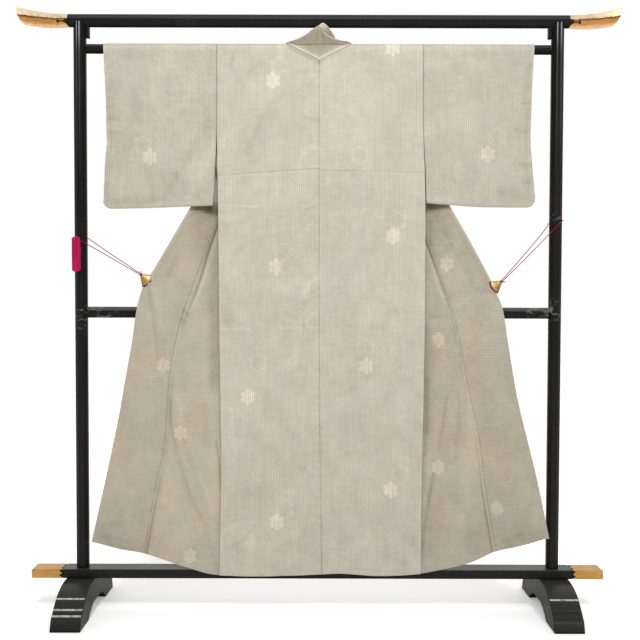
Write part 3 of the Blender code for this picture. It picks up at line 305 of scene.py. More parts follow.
# the turn in degrees from which the edge of a turned or pleated piece stays crisp
CRISP = 42
CLIP_RINGS = (0.000, 0.004, 0.009, 0.015, 0.021, 0.0265, 0.0305, 0.0318, 0.0334, 0.0338, 0.0358)
CLIP_RIBS = 33
KNOT_TAILS = {"left": ((-0.0015, -0.001, 0.0075), (-0.0010, -0.001, 0.0035)),
              "right": ((0.0090, -0.001, 0.0010), (0.0045, -0.001, 0.0002))}
HANK_TURNS = 13
HANK = {"x": -0.7175, "top": 1.1225, "low": 1.0165, "half": 0.013, "near": -0.0218, "far": -0.0338}


# ---------------------------------------------------------------- settings
class KimonoSilk(bpy.types.PropertyGroup):
    ground: bpy.props.FloatVectorProperty(
        name="Ground", description="Colour of the silk's back and sleeves", subtype="COLOR",
        size=3, min=0.0, max=1.0, default=(0.543, 0.503, 0.409))
    # the fronts' colour is a darker, warmer copy of the ground: painted shade, as the fronts hang
    # back in less light
    front: bpy.props.FloatVectorProperty(
        name="Fronts", description="Colour of the silk on the turned-out fronts",
        subtype="COLOR", size=3, min=0.0, max=1.0, default=(0.450, 0.396, 0.309))
    flower: bpy.props.FloatVectorProperty(
        name="Flowers", description="Colour of the snow flowers", subtype="COLOR",
        size=3, min=0.0, max=1.0, default=(0.727, 0.633, 0.504))
    flower_tips: bpy.props.FloatVectorProperty(
        name="Flower Tips", description="Colour of the snow flowers' lobes and dots",
        subtype="COLOR", size=3, min=0.0, max=1.0, default=(0.727, 0.652, 0.530))
    flower_radius: bpy.props.FloatProperty(
        name="Flower Radius", description="From a snow flower's middle to its tips",
        default=0.0257, unit="LENGTH")
    stripe: bpy.props.FloatProperty(
        name="Stripe Pitch", description="From one woven stripe to the next",
        default=0.0061, unit="LENGTH")
    ribs: bpy.props.FloatProperty(
        name="Weft Pitch", description="From one weft rib to the next on the fronts",
        default=0.0088, unit="LENGTH")


class KimonoStand(bpy.types.PropertyGroup):
    lacquer: bpy.props.FloatVectorProperty(
        name="Lacquer", description="Colour of the stand's lacquer", subtype="COLOR",
        size=3, min=0.0, max=1.0, default=(0.0100, 0.0095, 0.0082))
    gloss: bpy.props.FloatProperty(
        name="Lacquer Roughness", description="Roughness of the lacquer",
        default=0.26, min=0.0, max=1.0, subtype="FACTOR")
    gilt: bpy.props.FloatVectorProperty(
        name="Gilding", description="Colour of the gilded ends", subtype="COLOR",
        size=3, min=0.0, max=1.0, default=(0.80, 0.50, 0.17))
    edge: bpy.props.FloatProperty(
        name="Edge Rounding", description="Width of the rounded edges of the wood",
        default=0.0016, unit="LENGTH")


class KimonoCords(bpy.types.PropertyGroup):
    colour: bpy.props.FloatVectorProperty(
        name="Wound Cord", description="Colour of the hank of silk cord", subtype="COLOR",
        size=3, min=0.0, max=1.0, default=(0.47, 0.010, 0.085))
    # the stretched cords are a darker copy of the hank's silk: painted shade
    stretched: bpy.props.FloatVectorProperty(
        name="Stretched Cord", description="Colour of the cords between clips and posts",
        subtype="COLOR", size=3, min=0.0, max=1.0, default=(0.30, 0.004, 0.040))
    brass: bpy.props.FloatVectorProperty(
        name="Clips", description="Colour of the fan-shaped clips", subtype="COLOR",
        size=3, min=0.0, max=1.0, default=(0.83, 0.52, 0.17))


# ---------------------------------------------------------------- curves through the tables
def smooth_curve(xs, ys, count=600):
    """Many points on a smooth curve through the given ones, which never overshoots them."""
    xs, ys = np.array(xs, float), np.array(ys, float)
    slopes = np.diff(ys) / np.diff(xs)
    tangents = np.empty(len(xs))
    tangents[0], tangents[-1] = slopes[0], slopes[-1]
    for k in range(1, len(xs) - 1):
        before, after = slopes[k - 1], slopes[k]
        tangents[k] = 2 * before * after / (before + after) if before * after > 0 else 0.0
    at = np.linspace(xs[0], xs[-1], count)
    i = np.clip(np.searchsorted(xs, at, side="right") - 1, 0, len(xs) - 2)
    width = xs[i + 1] - xs[i]
    t = (at - xs[i]) / width
    values = ((2 * t**3 - 3 * t**2 + 1) * ys[i] + (t**3 - 2 * t**2 + t) * tangents[i] * width
              + (3 * t**2 - 2 * t**3) * ys[i + 1] + (t**3 - t**2) * tangents[i + 1] * width)
    return at, values


CURVES = {}


def line_at(table, column, height):
    key = (id(table), column)
    if key not in CURVES:
        CURVES[key] = smooth_curve(table["height"], table[column])
    return np.interp(height, *CURVES[key])


def smoothstep(x):
    x = np.clip(x, 0.0, 1.0)
    return x * x * (3.0 - 2.0 * x)


def ramp(value, start, length):
    """0 at start, rising softly to 1 a length above it, or below it for a negative length."""
    return smoothstep((value - start) / length)


def drape(x, z):
    fade = ramp(z, 0.75, -0.60)
    return fade * (0.0022 * np.sin(x * 17.0 + 0.6) + 0.0014 * np.sin(x * 37.0 + z * 5.0))


def mark(distance, middle, width):
    """1 where a distance equals middle, falling to 0 about width away."""
    return np.exp(-(((distance - middle) / width) ** 2))


def beside_line(x, z, x0, z0, x1, z1):
    """How far along the line between two points each place lies, 0 to 1, and how far from it."""
    dx, dz = x1 - x0, z1 - z0
    share = np.clip(((x - x0) * dx + (z - z0) * dz) / (dx**2 + dz**2), 0.0, 1.0)
    return share, np.hypot(x - x0 - share * dx, z - z0 - share * dz)


def fold_offset(side, out, z):
    """How far the big folds push the fronts out."""
    total = np.zeros(np.broadcast(out, z).shape)
    for name, out0, z0, out1, z1, depth, width in FOLDS:
        if name == side:
            share, away = beside_line(out, z, out0, z0, out1, z1)
            total += depth * mark(away, 0.0, width) * smoothstep(4.0 * share + 0.15)
    return total * ramp(z, 0.150, 0.06)


def back_y(x, z):
    return line_at(LAYERS, "back", z) + drape(x, z)


def near_y(x, z):
    return line_at(LAYERS, "near", z) + drape(x, z)


def far_y(side, out, z):
    base = line_at(LAYERS, "far", z)
    edge = line_at(COLLAR_EDGE, side, z)
    drawn = 0.0215 - 0.0400 * (1.69 - z) / 0.70
    pull = smoothstep((out - edge + 0.15) / 0.15) * ramp(z, 0.93, 0.10)
    beyond = smoothstep((out - line_at(BACK_EDGE, side, z) - 0.008) / 0.03)
    return (base + (drawn - base) * pull + drape(SIDES[side] * out, z)
            + beyond * fold_offset(side, out, z))


def collar_seam_out(side, z):
    slope = (line_at(COLLAR_EDGE, side, 1.10) - line_at(COLLAR_EDGE, side, 1.40)) / 0.30
    return line_at(COLLAR_EDGE, side, z) - COLLAR_WIDTH * math.hypot(1.0, slope)


def front_end_out(side, z):
    return np.where(z < KENSAKI + 1e-6, line_at(OKUMI_SEAM, side, z), collar_seam_out(side, z))


def turn_radius(z):
    return 0.5 * (line_at(LAYERS, "far", z) - line_at(LAYERS, "near", z))


def fold_line_out(side, z):
    def low_part(h):
        edge = line_at(BACK_EDGE, side, h)
        hidden = 0.5 * (FRONT_WIDTH - math.pi * turn_radius(h)
                        - (line_at(OKUMI_SEAM, side, h) - edge))
        return edge - np.maximum(hidden, 0.006)
    top = low_part(np.array(KENSAKI))
    rise = np.minimum((z - KENSAKI) / (1.687 - KENSAKI), 1.0)
    return np.where(z <= KENSAKI, low_part(z), top + (COLLAR_EDGE[side][-1] - top) * rise)


def level(row, side, out):
    fade = np.maximum(0.0, 1.0 - (row - HEM_LEVEL) / (HEM_FADE - HEM_LEVEL))
    return row + (line_at(HEM, side, out) - HEM_LEVEL) * fade


def over_rod(length):
    angle = length / CLOTH_RADIUS
    return CLOTH_RADIUS * np.cos(angle), ROD_HEIGHT + CLOTH_RADIUS * np.sin(angle)


def wrinkle(x, z, across, along, seed):
    """Soft uneven waves between -1 and 1; across and along are their sizes in metres."""
    flat = [noise.noise(Vector((a / across, b / along, seed)))
            for a, b in zip(np.ravel(x), np.ravel(z))]
    return np.array(flat).reshape(np.shape(x))


def tension(x, z, x0, z0, x1, z1, width, fade=0.03):
    """1 on the line between two points, falling to 0 about width away and past its ends."""
    length = math.hypot(x1 - x0, z1 - z0)
    along = ((x - x0) * (x1 - x0) + (z - z0) * (z1 - z0)) / length
    away = ((x - x0) * (z1 - z0) - (z - z0) * (x1 - x0)) / length
    return mark(away, 0.0, width) * ramp(along, -fade, fade) * ramp(along, length + fade, -fade)


def crease_marks_and_shade(piece, x, z):
    """How much lighter, as painted light and shade, and how far out the cloth is, from its
    creases.
    """
    tone, relief = np.zeros(x.shape), np.zeros(x.shape)
    for width, light, height, *line in CREASES_AND_SHADE.get(piece, ()):
        nearest = np.full(x.shape, 9.0)
        line = [coordinate / 1000 for coordinate in line]
        for k in range(0, len(line) - 2, 2):
            nearest = np.minimum(nearest, beside_line(x, z, *line[k:k + 4])[1])
        shape = mark(nearest, 0.0, width / 1000)
        tone, relief = tone + CREASE_PAINTED_LIGHT * light * shape, relief + CREASE_RELIEF * height * shape
    return tone, relief


def bands(distance, *rows):
    """Soft bands at several distances: each row says how strong, where and how wide one is."""
    return sum(strength * mark(distance, middle, width) for strength, middle, width in rows)


def near_seam(side, away, z):
    """The painted light and shade and the relief beside the overlap's seam; away is positive on
    the overlap.
    """
    offset, depth, width = (line_at(SEAM_FOLD, "%s_%s" % (side, key), z)
                            for key in ("offset", "depth", "width"))
    upper = ramp(z, 0.90, 0.06)
    tone = -depth * mark(away, offset, width)
    tone += bands(away - offset, (0.17, -0.0105, 0.0065), (-0.14, -0.0015, 0.0013)) * upper
    tone -= 0.07 * mark(away, {"left": 0.0095, "right": 0.0080}[side], 0.0017) * upper
    tone += 0.035 * mark(away, -0.0045, 0.0025) * (1.0 - upper)
    tone -= 0.05 * mark(away, 0.0, 0.0015) * ramp(z, 1.17, -0.05)
    return tone, -0.0035 * depth * mark(away, offset, width + 0.003)


# ---------------------------------------------------------------- node trees
def node(tree, kind, output, inputs, **settings):
    """A new node's output; its inputs are named or numbered."""
    made = tree.nodes.new(kind)
    for key, value in settings.items():
        setattr(made, key, value)
    for key, value in inputs.items():
        put(tree, made.inputs[key], value)
    return Value(tree, made.outputs[output])


def put(tree, target, value):
    if isinstance(value, Value):
        tree.links.new(value.socket, target)
    else:
        target.default_value = value


class Value:
    """What a node works out, which Python's own signs add to, multiply and so on."""

    def __init__(self, tree, socket):
        self.tree, self.socket = tree, socket

    def maths(self, operation, *others):
        return node(self.tree, "ShaderNodeMath", 0, dict(enumerate((self, *others))),
                    operation=operation)

    def __add__(self, other):
        return self.maths("ADD", other)

    def __sub__(self, other):
        return self.maths("SUBTRACT", other)

    def __mul__(self, other):
        return self.maths("MULTIPLY", other)

    def __truediv__(self, other):
        return self.maths("DIVIDE", other)

    def __abs__(self):
        return self.maths("ABSOLUTE")

    def sine(self, times):
        return (self * times).maths("SINE")

    def ease(self, low, high):
        """0 at low and 1 at high, with a soft start and end."""
        return node(self.tree, "ShaderNodeMapRange", "Result",
                    {"Value": self, "From Min": low, "From Max": high},
                    interpolation_type="SMOOTHSTEP", clamp=True)

    def mix(self, first, second, mode="MIX"):
        """The first colour where this is 0, the second where it is 1."""
        first, second = (c if isinstance(c, Value) else (*c, 1.0) for c in (first, second))
        return node(self.tree, "ShaderNodeMix", 2, {0: self, 6: first, 7: second},
                    data_type="RGBA", blend_type=mode)

    def parts(self):
        made = node(self.tree, "ShaderNodeSeparateXYZ", 0, {0: self}).socket.node
        return [Value(self.tree, output) for output in made.outputs]

    def grain(self, scale, detail=2.0, stretch=None):
        """Soft noise over this place."""
        place = self if stretch is None else node(
            self.tree, "ShaderNodeMapping", 0, {"Vector": self, "Scale": stretch})
        return node(self.tree, "ShaderNodeTexNoise", 0,
                    {"Vector": place, "Scale": scale, "Detail": detail})

    def bump(self, strength, distance, **normal):
        return node(self.tree, "ShaderNodeBump", 0, {
            "Height": self, "Strength": strength, "Distance": distance, **normal})


def largest(first, *others):
    for other in others:
        first = first.maths("MAXIMUM", other)
    return first


class Finish:
    """A material, whose shader's sockets take constants and what nodes work out."""

    def __init__(self, name, colour, roughness, **constants):
        self.material = bpy.data.materials.new(name)
        self.material.use_nodes = True
        self.material.diffuse_color = (*colour, 1.0)
        self.tree = self.material.node_tree
        self.place = self.source("ShaderNodeTexCoord", "Object")
        self.set(Base_Color=(*colour, 1.0), Roughness=roughness, **constants)

    def set(self, **values):
        shader = self.tree.nodes["Principled BSDF"]
        for key, value in values.items():
            put(self.tree, shader.inputs[key.replace("_", " ")], value)
        return self.material

    def source(self, kind, output=0, **settings):
        return node(self.tree, kind, output, {}, **settings)


def scaled(colour, factors):
    return tuple(c * f for c, f in zip(colour, factors))


def flower_place(finish, layer, radius, slender=1.0):
    """Direction and distance from a flower's middle, and how far the flower reaches there.

    It has six rounded lobes with notched tips, and is slender times as high as it is wide.
    """
    x, z, _ = finish.source("ShaderNodeUVMap", uv_map=layer).parts()
    x = x * slender
    turn = x.maths("ARCTAN2", z)
    lobe = abs((turn * 3.0).maths("COSINE"))
    reach = lobe.maths("POWER", 0.60) * (0.50 * radius) + 0.50 * radius
    return turn, (x * x + z * z).maths("SQRT"), reach - lobe.ease(0.965, 1.0) * (0.12 * radius)


def silk_finish(name, ground, warp, weft, hue=1.0):
    """Woven silk: fine stripes along or across the length, and snow flowers dyed into it."""
    silk = bpy.context.scene.kimono_silk
    ground = tuple(ground)
    made = Finish(name, ground, 0.62, Sheen_Weight=0.08, Sheen_Roughness=0.45,
                  Specular_IOR_Level=0.25)
    weave, place = made.source("ShaderNodeUVMap", uv_map="weave"), made.place
    across, along, _ = weave.parts()
    cloudy = place.grain(6.0, 4.0)
    patchy = place.grain(22.0, 3.0, (1.0, 1.0, 0.7))
    mottled = place.grain(70.0, 3.0, (0.7, 1.0, 1.3))
    rosy = place.grain(9.0, 2.0, (1.3, 1.0, 0.8))
    streak = weave.grain(300.0, 2.0, (1.0, 0.025, 1.0))
    cross = weave.grain(300.0, 2.0, (0.03, 1.0, 1.0))
    stripe = across.sine(2 * math.pi / silk.stripe)
    rib = along.sine(2 * math.pi / silk.ribs)
    uneven = patchy.ease(0.34, 0.66)
    tone = stripe * (uneven * warp) + rib * (uneven * weft)
    for noise_part, amount in ((streak, warp * 2), (cross, 0.05 + weft * 2), (cloudy, 0.26),
                               (patchy, 0.30), (mottled, 0.22)):
        tone += (noise_part - 0.5) * amount
    # painted light and shade from the tone attribute; its deepest painted shade lies only on the
    # side that faces out of the garment's back
    _, facing, _ = made.source("ShaderNodeNewGeometry", "Normal").parts()
    painted_shading = largest(made.source("ShaderNodeAttribute", "Fac", attribute_name="tone"),
                      facing.ease(-0.2, 0.2) * 0.88 - 1.0)
    cool, warm = (scaled(ground, [1.0 + shift * hue for shift in shifts])
                  for shifts in ((-0.009, 0.001, 0.010), (0.012, -0.004, -0.014)))
    tint = rosy.ease(0.36, 0.64).mix(cool, warm)
    light = node(made.tree, "ShaderNodeVectorMath", 0, {0: tint, "Scale": tone + painted_shading + 1.0},
                 operation="SCALE")
    # the flowers
    turn, far, reach = flower_place(
        made, "flower", silk.flower_radius * (0.93 if weft else 1.0), 1.10)
    heart, edge = (tuple(c / g for c, g in zip(dye, silk.ground))
                   for dye in (silk.flower, silk.flower_tips))
    petal = far.ease(0.008, 0.021).mix(heart, edge)
    inside = (reach - far).ease(-0.0008, 0.0008) * (streak.ease(0.38, 0.62) * 0.34 + 0.65)
    colour = inside.mix(light, petal, "MULTIPLY")
    # the open flower beside it, drawn in dots
    turn, far, reach = flower_place(made, "open_flower", silk.flower_radius * 1.02)
    rim = reach - far
    outline = abs(rim).ease(0.0024, 0.0008) * turn.sine(24.0).ease(-0.6, 0.4)
    within = far.ease(0.0200, 0.0180)
    spokes = abs(turn.sine(3.0)).ease(0.42, 0.14) * far.sine(1300.0).ease(-0.2, 0.5) * within
    drawn = largest(outline, spokes) * (0.55 if weft else 1.0)
    dim = rim.ease(0.0, 0.003) * within * 0.30
    colour = dim.mix(colour, (0.84, 0.84, 0.86), "MULTIPLY")
    colour = drawn.mix(colour, edge, "MULTIPLY")
    # where the painted shade is deep, as in the creases, it is browner
    colour = painted_shading.ease(-0.05, -0.45).mix(colour, (1.05, 0.975, 0.89), "MULTIPLY")
    thread = across.sine(2 * math.pi / 0.00085) * along.sine(2 * math.pi / 0.00075)
    threads = (thread * 0.35 + stripe).bump(0.16, 0.0004)
    crumple = place.grain(55.0, 3.0, (1.0, 1.0, 1.6)).bump(0.45, 0.0060, Normal=threads)
    return made.set(Base_Color=colour, Normal=crumple)


def lacquer_finish():
    stand = bpy.context.scene.kimono_stand
    colour = tuple(stand.lacquer)
    made = Finish("lacquer", colour, stand.gloss, Specular_IOR_Level=0.2)
    place = made.place
    cloud, fine = place.grain(9.0, 4.0), place.grain(240.0, 3.0)
    near = largest(*(
        node(made.tree, "ShaderNodeVectorMath", "Value", {0: place, 1: spot},
             operation="DISTANCE").ease(reach, 0.0)
        for spot, reach in (((-0.705, -0.018, 0.880), 0.050), ((0.700, -0.018, 0.905), 0.045),
                            ((0.712, -0.018, 1.195), 0.030), ((-0.640, -0.013, 0.908), 0.060),
                            ((0.650, -0.013, 0.905), 0.050))))
    rub = near * place.grain(110.0, 5.0, (0.45, 1.0, 1.0)).ease(0.50, 0.70)
    scuffs = largest((cloud * fine).ease(0.30, 0.40) * 0.05, rub)
    x, _, z = place.parts()
    aside, _, facing = made.source("ShaderNodeNewGeometry", "Normal").parts()
    # upward-facing facets are paler: dust and a painted sheen, bluish higher up, greener low on
    # the feet
    sheen_and_dust = z.ease(0.3, 0.5).mix((0.072, 0.074, 0.064), (0.100, 0.112, 0.125))
    sheen_and_dusty = (facing.ease(0.2, 0.5) * 0.30).mix(colour, sheen_and_dust)
    # painted highlights: the paler upper half of the rail, and the gleams at the tops of the posts
    rail = z.ease(0.9020, 0.9050) * z.ease(0.9155, 0.9150) * abs(x).ease(0.6905, 0.6900)
    gleam = largest(*(abs(x - middle).ease(width, 0.0004) for middle, width in (
        (-0.7072, 0.0032), (-0.7150, 0.0018), (0.7166, 0.0034), (0.7050, 0.0026))))
    fading = (z.ease(1.655, 1.742) * 0.42 + z.ease(1.25, 1.70) * 0.10) * z.ease(1.7585, 1.7565)
    sheen_and_dusty = largest(rail * 0.13, gleam * fading).mix(sheen_and_dusty, (0.52, 0.56, 0.58))
    dull = abs(aside).ease(0.5, 0.95) * -0.11 + 0.13
    return made.set(Base_Color=scuffs.mix(sheen_and_dusty, (0.20, 0.20, 0.195)),
                    Specular_IOR_Level=facing.ease(-0.70, 0.05) * dull,
                    Roughness=rub * 0.30 + cloud * 0.16 + (stand.gloss - 0.05),
                    Normal=fine.bump(0.10, 0.0006))


def painted_gleam_finish():
    """Lacquer painted with a pale, patchy gleam: a painted highlight."""
    made = Finish("painted_gleam_lacquer", (0.30, 0.30, 0.29), 0.20)
    wear_and_light = made.place.grain(130.0, 4.0).ease(0.25, 0.60)
    return made.set(Base_Color=wear_and_light.mix((0.13, 0.13, 0.12), (0.55, 0.55, 0.54)))


def gilt_finish(name, start, middle, half, teeth):
    """Gold leaf over wood, with the black lacquer painted into its inner end.

    start is where the gold begins, middle and half are the height and half height of the bar's
    face, and teeth says how the edge of the black runs: one arrow with a tail, or a zigzag.
    """
    stand = bpy.context.scene.kimono_stand
    gold = tuple(stand.gilt)
    made = Finish(name, gold, 0.36, Specular_IOR_Level=0.15)
    x, y, z = made.place.parts()
    streaks = made.place.grain(26.0, 5.0, (0.9, 6.0, 14.0))
    mottle = made.place.grain(70.0, 4.0)
    # up the face of a bar's end: 0 at its lower edge, 1 on the ridge, 2 at its upper edge
    up = made.source("ShaderNodeAttribute", "Fac", attribute_name="up")
    shade = ((streaks - 0.5) * 0.9 + 0.5).ease(0.2, 0.8)
    out = abs(x) - start
    if teeth == "arrow":
        # painted light: above the ridge the gold is pale, below it brown, with a dark line under
        # the ridge and lighter near the lower edge
        pale = shade.mix((0.70, 0.47, 0.22), (0.96, 0.84, 0.61))
        low = shade.mix((0.40, 0.165, 0.040), (0.58, 0.29, 0.090))
        low = up.ease(0.40, 0.0).mix(low, (0.80, 0.46, 0.19))
        line = (mottle - 0.5) * 0.30 + up
        low = line.ease(0.68, 0.92).mix(low, (0.15, 0.06, 0.02))
        colour = line.ease(1.01, 1.08).mix(low, pale)
        specks = made.place.grain(260.0, 2.0).ease(0.58, 0.66) * up.ease(1.5, 1.1)
        colour = specks.mix(colour, (0.35, 0.20, 0.09))
        away = abs(up - 0.62)
        tails = [out.ease(start - 0.001, start + 0.001) * out.ease(end + 0.001, end - 0.001)
                 * away.ease(wide + 0.03, wide - 0.03)
                 for start, end, wide in ((0.008, 0.026, 0.09), (0.0235, 0.0305, 0.22))]
        tip = away * -0.030 + 0.0145
    else:
        colour = shade.mix(scaled(gold, (0.55, 0.40, 0.28)), scaled(gold, (0.82, 0.76, 0.64)))
        colour = mottle.ease(0.58, 0.70).mix(colour, scaled(gold, (0.5, 0.5, 0.5)))
        high = (z - middle) / half + y / (2.2 * half)
        tails = []
        tip = ((high + 9.0).maths("PINGPONG", 0.5) * 0.022
               + made.place.grain(400.0, 1.0) * 0.004 - 0.004)
    black = largest((tip - out).ease(-0.0006, 0.0006), *tails)
    return made.set(Base_Color=black.mix(colour, tuple(stand.lacquer)),
                    Metallic=black * -0.35 + 0.35, Roughness=mottle * 0.30 + 0.20,
                    Normal=streaks.bump(0.35, 0.0006))


def cord_finish(name, colour):
    """Twisted silk cord, with painted shade between its strands."""
    made = Finish(name, colour, 0.70, Specular_IOR_Level=0.12)
    turns = node(made.tree, "ShaderNodeTexWave", "Fac",
                 {"Vector": made.place, "Scale": 420.0, "Distortion": 0.4},
                 bands_direction="DIAGONAL")
    tone = made.place.grain(330.0, 2.0, (1.0, 0.1, 0.04)) * 1.1 + turns * 0.35 - 0.20
    return made.set(Base_Color=tone.ease(0.22, 0.62).mix(
        [c * 0.45 for c in colour], [min(c * 1.15, 1.0) for c in colour]))


def brass_finish():
    """Gilded brass with painted light from its tone: painted shade darkens it near its pin and
    makes the rim's groove almost black.
    """
    colour = tuple(bpy.context.scene.kimono_cords.brass)
    made = Finish("clip_brass", colour, 0.34, Metallic=0.55)
    shade = made.source("ShaderNodeAttribute", "Fac", attribute_name="tone")
    wear_and_light = (made.place.grain(150.0, 3.0) - 0.5) * 1.1 + shade
    gold = wear_and_light.ease(0.0, 1.0).mix(scaled(colour, (0.50, 0.50, 0.50)),
                                   scaled(colour, (1.0, 1.20, 2.2)))
    return made.set(Base_Color=shade.ease(-0.7, -0.1).mix((0.075, 0.035, 0.014), gold),
                    Roughness=made.place.grain(130.0, 4.0) * 0.30 + 0.15)


def finish_of(name):
    found = bpy.data.materials.get("made_" + name)
    if found:
        return found
    silk, cords = bpy.context.scene.kimono_silk, bpy.context.scene.kimono_cords
    makers = {
        "silk": lambda: silk_finish("silk", silk.ground, 0.122, 0.0),
        # the fronts, the collar and, half way, the neck take the fronts' darker colour: painted
        # shade
        "silk_front": lambda: silk_finish("silk_front", silk.front, 0.034, 0.044, 2.0),
        "silk_neck": lambda: silk_finish(
            "silk_neck", [(a + b) / 2 for a, b in zip(silk.ground, silk.front)], 0.020, 0.0),
        "silk_collar": lambda: silk_finish("silk_collar", silk.front, 0.020, 0.0),
        "lacquer": lacquer_finish,
        "painted_gleam": painted_gleam_finish,
        "gilt_bar": lambda: gilt_finish("gilt_bar", BAR_GILT_FROM, BAR_RIDGE, 0.018, "arrow"),
        "gilt_base": lambda: gilt_finish("gilt_base", BASE_GILT_FROM, 0.1145, 0.0135, "zigzag"),
        "cord": lambda: cord_finish("cord", tuple(cords.stretched)),
        "hank": lambda: cord_finish("hank", tuple(cords.colour)),
        "brass": brass_finish,
    }
    made = makers[name]()
    made.name = "made_" + name
    return made


# ---------------------------------------------------------------- meshes
def new_object(name, data):
    item = bpy.data.objects.new(name, data)
    bpy.context.scene.collection.objects.link(item)
    return item


def place_in_scene(name, data, finish, nodes=(), sharp=None):
    """A smooth visible piece, whose edges stay crisp where they turn by over sharp degrees."""
    if sharp:
        data.shade_smooth()
        data.set_sharp_from_angle(angle=math.radians(sharp))
    item = new_object(name, data)
    data.materials.append(finish)
    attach(item, "root")
    if nodes:
        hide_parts(*nodes)
    return item


def round_edges(item, width, segments, angle, sharp, even=False):
    """Rounds the edges that turn by more than angle (degrees)."""
    bevel = item.modifiers.new("rounded", "BEVEL")
    bevel.width, bevel.segments = width, segments
    bevel.limit_method, bevel.angle_limit = "ANGLE", math.radians(angle)
    bevel.harden_normals = even
    item.data.shade_smooth()
    item.data.set_sharp_from_angle(angle=math.radians(sharp))


def point_values(mesh, name, values):
    mesh.attributes.new(name, "FLOAT", "POINT").data.foreach_set("value", values)


def thicken(item, thickness):
    shell = item.modifiers.new("thickness", "SOLIDIFY")
    shell.thickness, shell.offset = thickness, -1.0


def lengths_along(points, axis):
    """How far each point is from the first of its row or column, along the cloth."""
    first = np.take(points, [0], axis=axis)
    return np.cumsum(np.linalg.norm(np.diff(points, axis=axis, prepend=first), axis=2), axis=axis)


def stretch_between(low, high, fine=(), count=20):
    """Numbers from low to high, evenly spaced, with more at the places in fine."""
    steps = set(np.round(np.linspace(low, high, count), 6))
    for middle, reach, step in fine:
        for k in range(-int(reach / step), int(reach / step) + 1):
            value = middle + k * step
            if low < value < high:
                steps.add(round(value, 6))
    ordered = sorted(steps)
    kept = [ordered[0]]
    for value in ordered[1:]:
        if value - kept[-1] > 0.00035:
            kept.append(value)
    kept[-1] = ordered[-1]
    return np.array(kept)


def cell_middles(us, rows):
    """The middles of a grid's cells, in its two directions."""
    return 0.5 * (us[1:] + us[:-1])[:, None], 0.5 * (rows[1:] + rows[:-1])[None, :]


def uv_layer(mesh, name, values):
    mesh.uv_layers.new(name=name).data.foreach_set("uv", values.ravel())


# where a piece without flowers has its only one, out of reach of every face
FAR_AWAY = 90.0


def flower_layer(mesh, name, centres, corners):
    """A UV layer with each face's place measured from the flower nearest to it."""
    centres = np.array(centres or [(FAR_AWAY, FAR_AWAY)])
    middles = corners.reshape(-1, 4, 2).mean(axis=1)
    away = np.linalg.norm(middles[:, None, :] - centres[None, :, :], axis=2)
    nearest = centres[np.argmin(away, axis=1)]
    uv_layer(mesh, name, corners - np.repeat(nearest, 4, axis=0))


def hang(name, points, across, along, finish, nodes, piece="", relief=0.0, keep=None,
         look=(0, -1, 0), look_at=None, thickness=SHELL, tone=0.0,
         closing=(), allowance=None, dark=-0.15):
    """A shell of cloth over a grid of points, (columns, rows, 3), with its weave laid along it.

    allowance is the first (0) or last (-1) column of points, from which the cloth goes on for
    3 mm below the piece that it is sewn to, in painted shade of tone dark.
    """
    du = np.gradient(points, axis=0)
    dv = np.gradient(points, axis=1)
    normal = np.cross(du, dv)
    normal /= np.maximum(np.linalg.norm(normal, axis=2, keepdims=True), 1e-12)
    i, j = look_at or (points.shape[0] // 2, points.shape[1] // 2)
    flip = float(normal[i, j] @ np.array(look)) < 0.0
    if flip:
        normal = -normal
    # the creases' relief, and their painted light and shade
    painted_shading, raised = crease_marks_and_shade(piece, points[..., 0], points[..., 2])
    tone, relief = tone + painted_shading, relief + raised
    lifted = points + normal * (CLOTH / 2 + np.broadcast_to(relief, points.shape[:2]))[..., None]
    columns, rows = points.shape[:2]
    keep = np.full((columns - 1, rows - 1), True) if keep is None else keep
    across, along, tone = (np.broadcast_to(a, points.shape[:2]) for a in (across, along, tone))
    if allowance is not None:
        def extended(grid, near, far):
            """The grid with two more columns past the sewn edge."""
            return np.concatenate([grid, [near, far]] if allowance else [[far, near], grid])

        out = points[allowance] - points[-2 if allowance else 1]
        out /= np.maximum(np.linalg.norm(out, axis=1, keepdims=True), 1e-12)
        edge, down = lifted[allowance], normal[allowance]
        lifted = extended(lifted, edge + out * 0.0002 - down * 0.0008,
                          edge + out * 0.0030 - down * 0.0011)
        across, along, keep = (extended(a, a[allowance], a[allowance])
                               for a in (across, along, keep))
        tone = extended(tone, np.full(rows, dark), np.full(rows, dark))
    a, b = np.nonzero(keep)
    corner = a * rows + b
    quads = np.stack([corner, corner + rows, corner + rows + 1, corner + 1], axis=1)
    if flip:
        quads = quads[:, ::-1]
    if len(closing):
        quads = np.concatenate([quads, closing])
    flat = lifted.reshape(-1, 3)
    mesh = bpy.data.meshes.new(name)
    mesh.from_pydata(flat.tolist(), [], quads.tolist())
    point_values(mesh, "tone", tone.astype(np.float32).ravel())
    order = quads.ravel()
    uv_layer(mesh, "weave", np.stack([across.ravel()[order], along.ravel()[order]], axis=1))
    for layer, table in (("flower", FLOWERS), ("open_flower", OPEN_FLOWERS)):
        flower_layer(mesh, layer, [f[1:] for f in table if f[0] == piece],
                     flat[order][:, (0, 2)])
    work = bmesh.new()
    work.from_mesh(mesh)
    bmesh.ops.delete(work, geom=[v for v in work.verts if not v.link_faces], context="VERTS")
    for face in work.faces:
        face.smooth = True
    for edge in work.edges:
        edge.smooth = not edge.is_boundary
    work.to_mesh(mesh)
    work.free()
    item = place_in_scene(name, mesh, finish, nodes)
    thicken(item, thickness)
    return item


